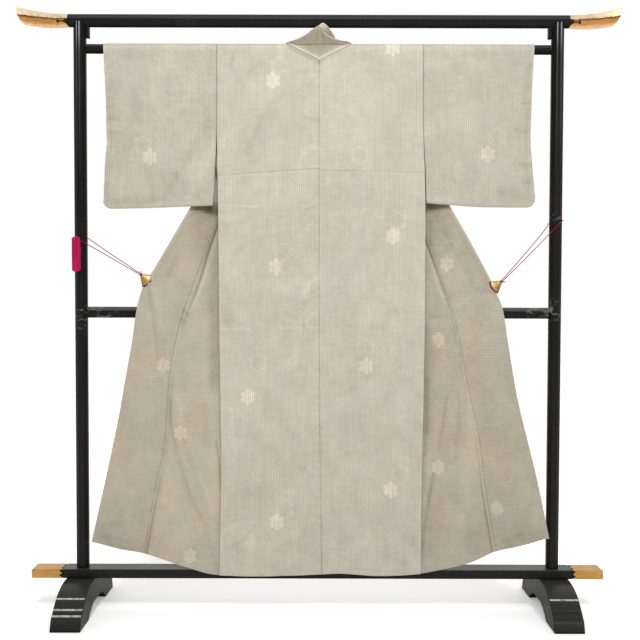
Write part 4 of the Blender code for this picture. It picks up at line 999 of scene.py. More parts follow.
# ---------------------------------------------------------------- back panels
def back_panel(side):
    sign = SIDES[side]
    flat_top = 1.60
    near_edge = np.array([0.0, 0.0007, 0.0014, 0.0022, 0.0031, 0.0042, 0.0055, 0.0070,
                          0.0090]) / 0.303
    shares = np.unique(np.round([*near_edge, *(1 - near_edge), *np.linspace(0.04, 0.96, 72)], 6))
    rows = stretch_between(HEM_LEVEL, flat_top, ((1.3145, 0.0165, 0.0013), (1.206, 0.014, 0.003),
                                                (0.853, 0.010, 0.0025), (0.118, 0.004, 0.002)),
                           230)
    top = flat_top + np.linspace(0.0, 1.0, 34)[1:]
    u, v = np.meshgrid(shares, np.concatenate([rows, top]), indexing="ij")
    row = np.minimum(v, flat_top)
    inner = sign * SEAM_GAP / 2 + line_at(BACK_EDGE, "centre", row)
    x = inner + (sign * line_at(BACK_EDGE, side, row) - inner) * u
    out = np.abs(x)
    z = level(row, side, out)
    rise = NECK_SEAM_TIP + 0.006 + (1.6914 - NECK_SEAM_TIP) * out / 0.090
    lift = np.clip((rise - ROD_HEIGHT) / CLOTH_RADIUS, 0.0, 1.0)
    limit = np.where(rise <= ROD_HEIGHT, rise,
                     np.minimum(ROD_HEIGHT + CLOTH_RADIUS * np.arcsin(lift),
                                ROD_HEIGHT + QUARTER))
    length = np.where(v > flat_top, flat_top + (limit - flat_top) * (v - flat_top), z)
    y_rod, z_rod = over_rod(np.maximum(length - ROD_HEIGHT, 0.0))
    hanging = length <= ROD_HEIGHT
    y = np.where(hanging, back_y(x, length), -y_rod)
    z = np.where(hanging, length, z_rod)
    return np.stack([x, y, z], axis=2), u, length


def back_surface(side, points):
    """The relief of a back panel, and its tone: painted light and shade."""
    x, z = points[..., 0], points[..., 2]
    sign, left = SIDES[side], side == "left"
    wide, edge = np.abs(x - x[0:1, :]), np.abs(x - x[-1:, :])
    relief = -0.0010 * mark(wide, 0.0, 0.0014) - 0.0004 * mark(edge, 0.0, 0.0012)
    # the sewn tuck: a folded edge that hangs over the cloth below it, with a painted shadow under
    # its edge and painted highlights beside it
    height, start, slope = TUCK[side]
    up = z - height - (x - start) * slope
    if left:
        tone = -0.20 * mark(up, -0.0006, 0.0017) * (0.6 + 0.4 * ramp(x, -0.12, 0.1))
        tone += 0.09 * mark(up, -0.0045, 0.0019)
        tone += 0.10 * mark(up, 0.0050, 0.0026) * ramp(x, -0.06, 0.04)
    else:
        far = ramp(x, 0.10, 0.05)
        tone = -0.13 * mark(up, -0.0006, 0.0020) * (1.0 - 0.5 * far)
        tone += 0.06 * mark(up, -0.0045, 0.0020) * far
    relief += 0.0011 * smoothstep(up / 0.0024) * ramp(up, 0.060, -0.060)
    relief -= 0.0004 * mark(up, -0.0022, 0.0022)
    # the seam down the middle, puckered by its stitches, with painted shade in the seam and the
    # puckers and a painted highlight on the right
    calm = ramp(z, NECK_SEAM_TIP, -0.004)
    if left:
        pucker = np.sin(z * 2 * math.pi / 0.024 + 1.5 * np.sin(z * 31.0))
        beside = np.exp(-wide / 0.010) * calm
        tone -= 0.24 * mark(wide, 0.0004, 0.0014) * calm
        tone -= 0.09 * beside * np.maximum(pucker, 0.0) * (0.35 + 0.65 * ramp(z, 0.72, -0.08))
        tone += 0.04 * beside * np.maximum(-pucker, 0.0)
        relief += 0.0005 * pucker * np.exp(-wide / 0.018) * smoothstep(wide / 0.003)
    else:
        tone += 0.08 * mark(wide, 0.0034, 0.0018) * calm * ramp(z, 0.70, 0.1)
        tone -= 0.08 * mark(wide, 0.0, 0.0012) * calm
    # painted light where the cloth turns over the rod, and painted shade darkening the lower back
    tone += 0.12 * ramp(z, 1.668, 0.020) - 0.035 * ramp(z, 0.70, -0.25)
    # beside the sleeve: a painted highlight along the edge lower down, a painted shade line higher
    # up
    high = ramp(z, SIDE_SEAM_TOP, 0.08)
    tone += 0.05 * mark(edge, 0.0, 0.004) * (1 - high) - 0.14 * mark(edge, 0.0, 0.0016) * high
    ripple = np.sin(z * 2 * math.pi / 0.031 + 2.0 * np.sin(z * 23.0 + sign))
    relief += 0.0004 * ripple * np.exp(-edge / 0.015)
    soft = wrinkle(x, z, 0.075, 0.16, 3.1 + sign) * 0.0022
    soft += wrinkle(x + 0.4 * z, z - 0.4 * x, 0.028, 0.060, 8.7 + sign) * 0.0009
    return relief + soft * ramp(z, 1.66, -0.05), tone


def make_backs():
    for side in SIDES:
        points, u, length = back_panel(side)
        relief, tone = back_surface(side, points)
        # the left panel's allowance goes on under the right one, in painted shade
        item = hang("cloth_back_" + side, points, u * 0.305, length, finish_of("silk"),
                    ["back_" + side], "back", relief, tone=tone,
                    allowance=0 if side == "left" else None, dark=-0.40)


# ---------------------------------------------------------------- fronts and okumi
def front_section(side, u, z):
    edge = line_at(BACK_EDGE, side, z) - 0.0015
    radius = turn_radius(z)
    fold = np.minimum(fold_line_out(side, z), edge - 0.004 - radius)
    sewn = smoothstep((ARMHOLE_END - z) / (ARMHOLE_END - SIDE_SEAM_TOP))
    sign = SIDES[side]
    out_near = edge + (fold + radius - edge) * np.minimum(u, 1.0)
    start = back_y(sign * out_near, z) + LAP
    reach = np.minimum(0.035, edge - fold - radius)
    away = smoothstep((edge - out_near) / reach)
    plain = near_y(sign * out_near, z)
    y_near = plain + (start - plain) * sewn * (1.0 - away)
    angle = np.clip(u - 1.0, 0.0, 1.0) * math.pi
    low = near_y(sign * (fold + radius), z)
    high = far_y(side, fold + radius, z)
    out_turn = fold + radius - radius * np.sin(angle)
    y_turn = 0.5 * (low + high) - 0.5 * (high - low) * np.cos(angle)
    end = np.maximum(front_end_out(side, z) - SEAM_GAP / 2, fold + radius + 0.003)
    out_far = fold + radius + (end - fold - radius) * np.maximum(u - 2.0, 0.0)
    y_far = far_y(side, out_far, z)
    out = np.where(u <= 1.0, out_near, np.where(u < 2.0, out_turn, out_far))
    y = np.where(u <= 1.0, y_near, np.where(u < 2.0, y_turn, y_far))
    return out, y


FRONT_ROWS = ((0.118, 0.004, 0.002), (KENSAKI, 0.003, 0.003), (FOLD_OVER_TOP, 0.003, 0.003))


def front_panel(side):
    sign = SIDES[side]
    us = np.concatenate([np.linspace(0.0, 1.0, 14)[:-1], np.linspace(1.0, 2.0, 13)[:-1],
                         2.0 + stretch_between(0.0, 1.0, ((1.0, 0.165, 0.0085),), 60)])
    rows = stretch_between(HEM_LEVEL, ROD_HEIGHT, FRONT_ROWS, 190)
    rows = np.concatenate([rows, ROD_HEIGHT + QUARTER * np.linspace(0.0, 1.0, 9)[1:]])
    u, v = np.meshgrid(us, rows, indexing="ij")
    row = np.minimum(v, ROD_HEIGHT)
    out, _ = front_section(side, u, row)
    z = level(row, side, out)
    out, y = front_section(side, u, z)
    y_rod, z_rod = over_rod(np.maximum(v - ROD_HEIGHT, 0.0))
    y = np.where(v > ROD_HEIGHT, y_rod, y)
    z = np.where(v > ROD_HEIGHT, z_rod, z)
    # its edge reaches out into the gap that the sleeve leaves below the seam
    reach = np.clip(line_at(SLEEVE_INNER, side, z) + 0.0012, 0.0, 0.0085)
    out = out + reach * np.clip(1.0 - 14.0 * u, 0.0, 1.0) * ramp(z, 1.30, 0.03)
    points = np.stack([sign * out, y, z], axis=2)
    middle_u, middle_v = cell_middles(us, rows)
    keep = (middle_u < 1.0) | (middle_v < FOLD_OVER_TOP)
    return points, lengths_along(points, 0), v, u, keep


def front_surface(side, points, u):
    x, z = points[..., 0], points[..., 2]
    sign = SIDES[side]
    away = np.abs(x) - np.abs(points[-1:, :, 0])
    outer = ramp(u, 1.95, 0.05)
    soft = wrinkle(x, z, 0.050, 0.22, 21.0 + sign) * 0.0020
    soft += wrinkle(x, z, 0.025, 0.06, 31.0 + sign) * 0.0007
    # painted light and shade: beside the overlap's seam, a lighter left front and lighter upper
    # fronts
    tone, relief = near_seam(side, away, z)
    relief += soft * smoothstep(-away / 0.012) - 0.0012 * mark(away, 0.0, 0.0018)
    tone += (0.10 if side == "left" else -0.02) * smoothstep(-away / 0.030)
    tone += 0.05 * ramp(z, 1.0, 0.1)
    # painted shade on the edge that shows in the gap between the sleeve and the back
    gap = ramp(u, 0.07, -0.05) * ramp(z, 1.47, -0.02)
    out, edge = np.abs(x), line_at(BACK_EDGE, side, z)
    beside = 1.0 - smoothstep((out - edge - line_at(SLEEVE_INNER, side, z)) / 0.005)
    beside = beside * smoothstep((out - edge + 0.006) / 0.004)
    tone -= 0.60 * beside * ramp(z, 1.190, 0.02)
    tone += sleeve_shadow(side, out, z)
    # painted shade beside the back panel's edge, lower down
    tone -= 0.10 * np.exp(-np.maximum(out - edge, 0.0) / 0.010) * ramp(z, 1.0, -0.1)
    tone = tone * outer - 0.70 * gap
    return outer * relief, tone


def sleeve_shadow(side, out, z):
    """The painted shadow, a dark wedge that the sleeve's lower edge throws on the front."""
    near = np.clip((0.385 - out) / 0.075, 0.0, 1.2)
    low = line_at(SLEEVE_BOTTOM, side, out)
    tone = -0.42 * smoothstep((z - low + 0.012 + 0.020 * near) / 0.010) - 0.10 * smoothstep(
        (z - low + 0.045) / 0.04)
    shown = smoothstep((out - line_at(BACK_EDGE, side, z) + 0.008) / 0.006)
    return tone * shown * (1.0 - smoothstep((z - low - 0.004) / 0.010))


def make_fronts():
    for side in SIDES:
        points, across, along, u, keep = front_panel(side)
        relief, tone = front_surface(side, points, u)
        item = hang("cloth_front_" + side, points, across, along, finish_of("silk_front"),
                    ["front_" + side], "front", relief, keep,
                    look_at=(points.shape[0] - 12, 40), tone=tone, allowance=-1)
        make_okumi(side)


def okumi_out(side, u, z):
    end = COLLAR_END[side]
    seam = line_at(OKUMI_SEAM, side, z) + SEAM_GAP / 2
    share = (collar_seam_out(side, end) - line_at(OKUMI_SEAM, side, end)) / (
        line_at(FREE_EDGE, side, end) - line_at(OKUMI_SEAM, side, end))
    free = line_at(FREE_EDGE, side, z)
    limit = np.where(z < end, seam + (free - seam) * share,
                     collar_seam_out(side, z) - SEAM_GAP / 2)
    return np.where(u <= 1.0, seam + (limit - seam) * u, limit + (free - limit) * (u - 1.0))


def make_okumi(side):
    sign = SIDES[side]
    end = COLLAR_END[side]
    us = np.concatenate([stretch_between(0.0, 1.0, ((0.0, 0.24, 0.016),), 30)[:-1],
                         [1.0, 1.015, 1.03, 1.05, 1.08],
                         1.0 + stretch_between(0.12, 1.0, ((1.0, 0.08, 0.02),), 17)])
    rows = stretch_between(HEM_LEVEL, end - 0.7 * SEAM_GAP, ((0.118, 0.004, 0.002),), 125)
    rows = np.concatenate([rows, end + np.array([0.0010, 0.0022, 0.0038, 0.0060]),
                           stretch_between(end + 0.009, KENSAKI, (), 60)])
    u, v = np.meshgrid(us, rows, indexing="ij")
    z = level(v, side, okumi_out(side, u, v))
    out = okumi_out(side, u, z)
    # its edges go on for a few millimetres below the collar
    under = smoothstep((z - end + 0.0002) / 0.0022) * ramp(u, 1.0, 0.03)
    points = np.stack([sign * out, far_y(side, out, z) + 0.0011 * under, z], axis=2)
    middle_u, middle_v = cell_middles(us, rows)
    keep = (middle_u < 1.0) | (middle_v < end + 0.0060) | ((middle_u < 1.09)
                                                         & (middle_v < KENSAKI - 0.02))
    away = out - line_at(OKUMI_SEAM, side, z)
    x = points[..., 0]
    tone, relief = near_seam(side, away, z)
    relief -= 0.0007 * mark(away, 0.0, 0.0012)
    relief += wrinkle(x, z, 0.045, 0.20, 41.0 + sign) * 0.0020 * smoothstep(away / 0.02)
    relief += wrinkle(x, z, 0.022, 0.05, 51.0 + sign) * 0.0007
    relief += clip_pull(side, x, z)
    # painted light and shade: the overlap lighter higher up, and the sleeve's painted shadow
    if side == "left":
        tone += 0.07 * ramp(z, 0.50, 0.30)
    else:
        tone += 0.09 * ramp(z, 0.60, 0.30) - 0.05
    tone += sleeve_shadow(side, out, z)
    item = hang("cloth_okumi_" + side, points, lengths_along(points, 0), v,
                finish_of("silk_front"), ["okumi_" + side], "front", relief, keep, tone=tone)


def clip_pull(side, x, z):
    """Tension folds that run from the clip into the cloth."""
    apex_x, apex_z = CLIPS[side]["apex"]
    sign = SIDES[side]
    total = 0.0
    for dx, dz, width, size in ((-0.100, 0.155, 0.010, 0.0022), (-0.060, 0.120, 0.008, -0.0016),
                                (-0.035, -0.140, 0.009, -0.0018), (0.012, -0.150, 0.010, 0.0016),
                                (-0.110, -0.020, 0.010, 0.0012), (-0.080, -0.110, 0.010, 0.0014)):
        total += size * tension(x, z, apex_x, apex_z, apex_x + sign * dx, apex_z + dz, width, 0.05)
    return total


# ---------------------------------------------------------------- collar
def collar_run(side):
    sign = SIDES[side]
    end = COLLAR_END[side] + 0.7 * SEAM_GAP
    turn = np.linspace(0.0, 5.0, 42)
    drops = np.concatenate([np.linspace(1.60, 1.55, 6)[1:],
                            stretch_between(end, 1.55, (), 84)[::-1][1:]])
    us = np.array([0.0, 0.012, 0.03, 0.06, 0.10, 0.18, 0.26, 0.34, 0.42, 0.5, 0.58, 0.66, 0.74,
                   0.82, 0.90, 0.94, 0.97, 0.988, 1.0])
    seams, edges = [], []
    for t in turn:
        seams.append([line_at(NECK_TURN, "seam_" + c, t) for c in ("out", "y", "z")])
        edges.append([line_at(NECK_TURN, "edge_" + c, t) for c in ("out", "y", "z")])
    first_seam, first_edge = np.array(seams[-1]), np.array(edges[-1])
    target = 1.55
    seam_t = np.array((collar_seam_out(side, target) + SEAM_GAP / 2, 0.0, target))
    seam_t[1] = far_y(side, seam_t[0], target)
    edge_t = np.array((line_at(COLLAR_EDGE, side, target), 0.0, target))
    edge_t[1] = far_y(side, edge_t[0], target)
    for z in drops:
        if z >= target - 1e-9:
            t = (1.60 - z) / 0.05
            seams.append(first_seam + (seam_t - first_seam) * t)
            edges.append(first_edge + (edge_t - first_edge) * t)
        else:
            s = collar_seam_out(side, z) + SEAM_GAP / 2
            e = line_at(COLLAR_EDGE, side, z)
            seams.append(np.array((s, far_y(side, s, z), z)))
            edges.append(np.array((e, far_y(side, e, z), z)))
    seams, edges = np.array(seams, float), np.array(edges, float)
    points = seams[None] + (edges - seams)[None] * us[:, None, None]
    low = points[..., 2] < target
    points[..., 1] = np.where(low, far_y(side, points[..., 0], points[..., 2]), points[..., 1])
    along = lengths_along(points, 1)
    points[..., 0] *= sign
    return points, us, along


def make_collar():
    for side in SIDES:
        points, us, along = collar_run(side)
        u = np.broadcast_to(us[:, None], points.shape[:2])
        x, z = points[..., 0], points[..., 2]
        rounded = 0.0004 - 0.0006 * ramp(u, 0.90, 0.10)
        folds = wrinkle(x, z, 0.045, 0.20, 41.0 + SIDES[side]) * 0.0012
        relief = rounded + (folds + clip_pull(side, x, z)) * (z < 1.58)
        # painted light and shade: a highlight along the collar's folded edge, shade beside it, and
        # the sleeve's painted shadow
        tone = 0.17 * ramp(u, 0.84, 0.16) - 0.05 * mark(u, 0.76, 0.10)
        tone += (0.02 if side == "left" else -0.05) + sleeve_shadow(side, np.abs(x), z)
        item = hang("cloth_collar_" + side, points, u * COLLAR_WIDTH, along,
                    finish_of("silk_collar"), ["collar_" + side],
                    "front", relief, look_at=(9, 90), thickness=0.0013, tone=tone)
    make_neck()


def back_face_y(x, z, away):
    radius = CLOTH_RADIUS + away
    rise = np.clip((z - ROD_HEIGHT) / radius, 0.0, 1.0)
    return np.where(z <= ROD_HEIGHT, back_y(x, z) - away, -radius * np.sqrt(1.0 - rise * rise))


def neck_surface(u, v):
    x0, x2, y2, z2 = (line_at(NECK_STAND, name, u)
                      for name in ("seam_x", "edge_x", "edge_y", "edge_z"))
    z0 = NECK_SEAM_TIP + (1.6915 - NECK_SEAM_TIP) * np.minimum(np.abs(x0 - 0.002) / 0.0937, 1.0)
    y0 = back_face_y(x0, z0, LAP + 0.0002)
    z1 = np.maximum(NECK_CREASE, z0 + 0.30 * (z2 - z0))
    x1 = x0 + (x2 - x0) * 0.4
    y1 = np.minimum(back_face_y(x1, z1, LAP + 0.0002), 0.35 * y2 + 0.65 * y0 + 0.001)
    a = np.minimum(v, 1.0)
    x_low, z_low = x0 + (x1 - x0) * a, z0 + (z1 - z0) * a
    y_low = np.minimum(y0 + (y1 - y0) * a, back_face_y(x_low, z_low, LAP + 0.0002))
    t = np.maximum(v - 1.0, 0.0)
    belly = 0.002 * np.sin(math.pi * t)
    high = v > 1.0
    return np.stack([np.where(high, x1 + (x2 - x1) * t, x_low),
                     np.where(high, y1 + (y2 - y1) * t - belly, y_low),
                     np.where(high, z1 + (z2 - z1) * t, z_low)], axis=-1)


def make_neck():
    us = np.linspace(0.0, 8.0, 81)
    vs = np.concatenate([[0.0, 0.02, 0.05, 0.09, 0.14, 0.22], np.linspace(0.30, 0.90, 9),
                         [0.94, 0.97, 1.0, 1.03, 1.06, 1.12], np.linspace(1.2, 1.85, 10),
                         [1.92, 1.96, 2.0]])
    u, v = np.meshgrid(us, vs, indexing="ij")
    points = neck_surface(u, v)
    x, z = points[..., 0], points[..., 2]
    relief = 0.0009 * mark(v, 0.07, 0.07)
    relief -= 0.0013 * mark(v, 1.0, 0.035)
    relief += 0.0010 * mark(v, 1.95, 0.08)
    relief -= 0.0008 * mark(x, 0.002, 0.0016) * (v > 1.0)
    relief += wrinkle(x, z, 0.018, 0.014, 71.0) * 0.0012 * ramp(v, 1.1, 0.3)
    far = lengths_along(points, 1)
    turned = far - far[:, [int(np.argmin(np.abs(vs - 1.0)))]]
    # painted light and shade: a light band along the V's seam, a dark line at the fold, the stand
    # darker than the V and a painted highlight along its rim
    upper, right = smoothstep(turned / 0.0015), ramp(x, 0.002, 0.014)
    tone = (1.0 - upper) * (-0.30 + 0.26 * np.exp(-np.maximum(far - 0.008, 0.0) / 0.010)
                            + 0.38 * ramp(far, 0.0062, -0.0018))
    tone -= 0.30 * mark(turned, 0.0, 0.0017)
    tone += upper * (-0.38 + 0.12 * mark(turned, 0.0, 0.007) - 0.04 * right
                     + 0.12 * (1.0 - right) * ramp(v, 1.55, 0.4))
    rim = smoothstep((0.0040 - (far[:, -1:] - far)) / 0.0016)
    tone += rim * (0.12 + 0.62 * smoothstep((x + 0.002) / 0.006)) * upper
    tone += 0.15 * mark(x, 0.0035, 0.0016) * upper - 0.06 * mark(x, -0.0010, 0.0018) * upper
    item = hang("cloth_collar_neck", points, far, points[..., 0], finish_of("silk_neck"),
                ["collar_neck"], "", relief, thickness=0.0011, tone=tone)
    samples = neck_surface(np.linspace(0.0, 8.0, 161), np.full(161, 1.04))
    u, v = np.meshgrid(np.linspace(0.0, 6.0, 49), np.linspace(0.0, 1.0, 20), indexing="ij")
    x = line_at(NECK_INNER, "edge_x", u)
    top = line_at(NECK_INNER, "edge_z", u)
    low = np.interp(x, samples[:, 0], samples[:, 2])
    y = np.interp(x, samples[:, 0], samples[:, 1]) + LAP
    upper = -0.0125 - 0.0065 * ramp(top, 1.69, 0.04)
    points = np.stack([x, y + (upper - y) * v, low + (top - low) * v], axis=-1)
    relief = wrinkle(points[..., 0], points[..., 2], 0.012, 0.02, 77.0) * 0.0008
    relief += 0.0006 * mark(v, 0.97, 0.06)
    # painted shade on the inner piece, deepest low down and to the right
    shadow = np.maximum(ramp(v, 0.90, -0.30),
                        ramp(points[..., 0], 0.014, 0.012) * ramp(v, 0.97, -0.05))
    tone = 0.26 - 0.64 * shadow
    item = hang("cloth_collar_neck_inner", points, u * 0.014, points[..., 2],
                finish_of("silk_neck"), ["collar_neck_inner"], "", relief, thickness=0.0011,
                tone=tone)


# ---------------------------------------------------------------- sleeves
def sleeve_walls(side, out, z):
    wrist = WRIST_END[side]
    limit = line_at(SLEEVE_OUTER, side, z)
    hang_share = smoothstep((ARMHOLE_END - z) / (ARMHOLE_END - 1.215))
    back, front = line_at(LAYERS, "back", z), line_at(LAYERS, "near", z)
    middle = 0.5 * (back + front) * (1.0 - hang_share) - 0.0150 * hang_share
    half = 0.5 * (front - back) * (1.0 - hang_share) + SLEEVE_SEAM_HALF * hang_share
    sewn = smoothstep((out - limit + 0.09) / 0.08) * smoothstep((wrist + 0.03 - z) / 0.05)
    half = half + (SLEEVE_SEAM_HALF - half) * sewn
    ripple = 0.0015 * np.sin(out * 42.0 + 0.8) * ramp(z, 1.60, -0.30)
    return middle + ripple, half


# points down a sleeve's wall above and below the wrist's opening, and those over the rod
WALL_ROWS = (33, 30)
TOP_POINTS = 15


def sleeve_ring(side, share, extra):
    """Points round the sleeve at one place along the arm, and their lengths round it."""
    sign = SIDES[side]

    def outs(z):
        inner = line_at(BACK_EDGE, side, z) + line_at(SLEEVE_INNER, side, z)
        outer = line_at(SLEEVE_OUTER, side, z)
        return inner + (outer - inner) * share + extra

    low_out = float(outs(1.22))
    base = float(line_at(SLEEVE_BOTTOM, side, low_out))
    limit = float(line_at(SLEEVE_OUTER, side, base + SLEEVE_CORNER))
    past = min(max((low_out - limit + SLEEVE_CORNER) / SLEEVE_CORNER, 0.0), 1.0)
    bottom = base + SLEEVE_CORNER * (1.0 - math.sqrt(1.0 - past * past)) + SLEEVE_SEAM_HALF
    wrist = WRIST_END[side]
    levels = np.concatenate([np.linspace(ROD_HEIGHT, wrist, WALL_ROWS[0] + 1)[:-1],
                             np.linspace(wrist, bottom, WALL_ROWS[1])])
    middle, half = sleeve_walls(side, outs(levels), levels)
    back = np.stack([outs(levels), middle - half, levels], axis=1)[::-1]
    angles = np.pi * np.arange(1, TOP_POINTS + 1) / (TOP_POINTS + 1)
    top = np.stack([np.full(TOP_POINTS, outs(ROD_HEIGHT)), -CLOTH_RADIUS * np.cos(angles),
                    ROD_HEIGHT + CLOTH_RADIUS * np.sin(angles)], axis=1)
    front = np.stack([outs(levels), middle + half, levels], axis=1)
    mid = float(sleeve_walls(side, outs(bottom), bottom)[0])
    angles = np.pi * np.arange(1, 6) / 6
    low = np.stack([np.full(5, outs(bottom)), mid + SLEEVE_SEAM_HALF * np.cos(angles),
                    bottom - SLEEVE_SEAM_HALF * np.sin(angles)], axis=1)
    ring = np.concatenate([back, top, front, low, back[:1]])
    ring[:, 0] *= sign
    return ring


def make_sleeve(side):
    shares = [(0.0, 0.0), (0.0, 0.0006), (0.0, 0.0014), (0.0, 0.003), (0.0, 0.006)]
    shares += [(s, 0.0) for s in np.linspace(0.030, 0.90, 62)]
    shares += [(1.0, -SLEEVE_CORNER * (1 - math.sin(math.radians(a))))
               for a in (0, 12, 24, 34, 44, 54, 62, 70)]
    shares += [(1.0, -0.0008), (1.0, -0.00035), (1.0, -0.00005)]
    rings = [sleeve_ring(side, *share) for share in shares]
    points = np.stack(rings)
    x, z = points[..., 0], points[..., 2]
    inner = np.abs(x - x[0:1])
    wall = np.broadcast_to((np.arange(points.shape[1]) < 64)[None, :], x.shape)
    sign = SIDES[side]
    relief = -0.0007 * mark(inner, 0.0, 0.0012) * (z < 1.66)
    soft = wrinkle(x + 3.0 * wall, z, 0.060, 0.14, 81.0 + sign) * 0.0026
    soft += wrinkle(x + 3.0 * wall, z, 0.026, 0.05, 91.0 + sign) * 0.0009
    # painted light and shade: a highlight along the inner edge low down, a dark line there higher
    # up, a light band above a dark line at the hem, the whole sleeve a little darker, lighter over
    # the rod, and light and dark tucks along the wrist edge
    tone = -0.14 * mark(inner, 0.0, 0.0016) * ramp(z, 1.36, 0.05)
    tone += 0.16 * mark(inner, 0.0, 0.0028) * ramp(z, 1.32, -0.04)
    hem = z - z.min(axis=1, keepdims=True)
    tone += 0.07 * mark(hem, 0.0055, 0.0025) - 0.22 * mark(hem, 0.0, 0.0016) - 0.08
    tone += 0.14 * ramp(z, 1.668, 0.020)
    wrist = np.abs(x - x[-1:])
    tuck = np.sin(z * 2 * math.pi / 0.043 + 2.2 * np.sin(z * 17.0 + sign))
    tone += (0.09 * np.maximum(tuck, 0.0) - 0.10 * np.maximum(-tuck, 0.0)) * np.exp(
        -wrist / 0.006) * ramp(z, 1.24, 0.04)
    soft += 0.0006 * tension(x, z, sign * 0.33, 1.425, sign * 0.62, 1.432, 0.004)
    soft += 0.0010 * tension(x, z, sign * 0.34, 1.665, sign * 0.50, 1.560, 0.018)
    relief += soft * ramp(z, 1.665, -0.04) * ramp(z, 1.205, 0.03)
    item = hang("cloth_sleeve_" + side, points, np.abs(x), lengths_along(points, 1),
                finish_of("silk"), ["sleeve_" + side], "sleeve", relief, look_at=(20, 30),
                closing=sleeve_end(side, points), tone=tone)


def sleeve_end(side, points):
    """The seam that closes the sleeve's outer end below the wrist: quads between its walls."""
    rows = points.shape[1]
    start = (points.shape[0] - 1) * rows
    wall = sum(WALL_ROWS)
    last = wall + TOP_POINTS
    quads = []
    for k in range(wall - 1):
        if points[-1, k + 1, 2] < WRIST_END[side] + 0.002:
            near, after = last + wall - 1 - k, last + wall - 2 - k
            quads.append((start + k, start + k + 1, start + after, start + near))
    return np.array(quads)


def make_sleeves():
    for side in SIDES:
        make_sleeve(side)


# ---------------------------------------------------------------- the stand
def rounded_node(part, finish):
    """The node's own solid with its hard edges rounded."""
    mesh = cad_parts[part].data.copy()
    mesh.materials.clear()
    work = bmesh.new()
    work.from_mesh(mesh)
    bmesh.ops.remove_doubles(work, verts=work.verts, dist=1e-6)
    bmesh.ops.dissolve_limit(work, angle_limit=math.radians(1.0), verts=work.verts,
                             edges=work.edges)
    work.to_mesh(mesh)
    work.free()
    item = place_in_scene("dressed_" + part, mesh, finish, [part])
    round_edges(item, bpy.context.scene.kimono_stand.edge, 2, 25, 30, True)


def make_stand():
    for part in ("post_left", "post_right", "bracket_left", "bracket_right", "middle_rail",
                 "base_rail", "top_bar"):
        rounded_node(part, finish_of("lacquer"))
    for part in ("base_end_left", "base_end_right"):
        rounded_node(part, finish_of("gilt_base"))
    make_rod()
    for side in SIDES:
        make_bar_end(side)
        make_foot(side)


def make_rod():
    low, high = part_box("sleeve_rod")
    reach, chamfer, clear = high[0], 0.0008, 0.00005
    turns = [2 * math.pi * k / 48 for k in range(48)]
    stations = ((-reach, ROD_RADIUS - chamfer), (chamfer - reach, ROD_RADIUS - clear),
                (reach - chamfer, ROD_RADIUS - clear), (reach, ROD_RADIUS - chamfer))
    rings = [[(x, radius * math.cos(a), ROD_HEIGHT + radius * math.sin(a)) for a in turns]
             for x, radius in stations]
    place_in_scene("dressed_sleeve_rod", loft_mesh("dressed_sleeve_rod", rings),
                   finish_of("lacquer"), ["sleeve_rod"], CRISP)


def loft_mesh(name, rings, ups=()):
    """A closed solid through rings of equally many points, with flat ends."""
    count = len(rings[0])
    points = [p for ring in rings for p in ring]
    faces = [tuple(reversed(range(count))),
             tuple(range((len(rings) - 1) * count, len(rings) * count))]
    for i in range(len(rings) - 1):
        for j in range(count):
            n = (j + 1) % count
            faces.append((i * count + j, i * count + n, (i + 1) * count + n, (i + 1) * count + j))
    mesh = bpy.data.meshes.new(name)
    mesh.from_pydata(points, [], faces)
    if ups:
        point_values(mesh, "up", ups * len(rings))
    work = bmesh.new()
    work.from_mesh(mesh)
    bmesh.ops.recalc_face_normals(work, faces=work.faces)
    if work.calc_volume(signed=True) < 0.0:
        bmesh.ops.reverse_faces(work, faces=work.faces)
    work.to_mesh(mesh)
    work.free()
    return mesh


def make_bar_end(side):
    sign = SIDES[side]
    section = [(-0.013, 1.745, "low"), (-0.0185, 1.764, "ridge"), (-0.009, 1.779, "top"),
               (0.009, 1.779, "top"), (0.0185, 1.764, "ridge"), (0.013, 1.745, "low")]
    rings = []
    for t in np.linspace(0.0, 1.0, 30):
        ring = []
        lift = 0.022 * t**2
        for y, z, kind in section:
            end = BAR_END - {"low": 0.0135, "ridge": 0.0050, "top": 0.0}[kind]
            rise = {"low": 0.009 * t**2 - 0.004 * math.sin(math.pi * t),
                    "ridge": 0.5 * lift, "top": lift}[kind]
            if kind == "low":
                rise += 0.0045 * max(0.0, (t - 0.93) / 0.07) ** 2
            ring.append((sign * (BAR_GILT_FROM + (end - BAR_GILT_FROM) * t),
                         y * (1.0 + 0.06 * t), z + rise))
        rings.append(ring)
    item = place_in_scene("gilded_bar_end_" + side, loft_mesh(
        "gilded_bar_end_" + side, rings, (0.0, 1.0, 2.0, 2.0, 1.0, 0.0)),
                          finish_of("gilt_bar"), ["bar_end_" + side])
    round_edges(item, 0.0012, 3, 22, 28)


RIB_HEIGHTS = (0.0735, 0.0525, 0.0392)
RIB_INSET = 0.0020


def foot_profile():
    """Half of the foot's side view, from the middle of its top to the middle of its arch."""
    shoulder = [(0.0, FOOT_TOP), (0.040, FOOT_TOP), (0.080, FOOT_TOP - 0.003),
                (0.118, FOOT_TOP - 0.011), (0.149, FOOT_TOP - 0.023), (0.177, FOOT_TOP - 0.040),
                (0.200, FOOT_TOP - 0.057), (0.216, FOOT_TOP - 0.070)]
    outer = list(zip(*smooth_curve(*zip(*shoulder), 40)))
    outer += [(0.2185, 0.026), (0.2225, 0.016), (0.2262, 0.007), (0.2280, 0.0025), (0.2275, 0.0)]
    arch = [(0.118, 0.0), (0.1165, 0.0015), (0.098, 0.014), (0.074, 0.026), (0.045, 0.034),
            (0.0, 0.034)]
    return outer + arch


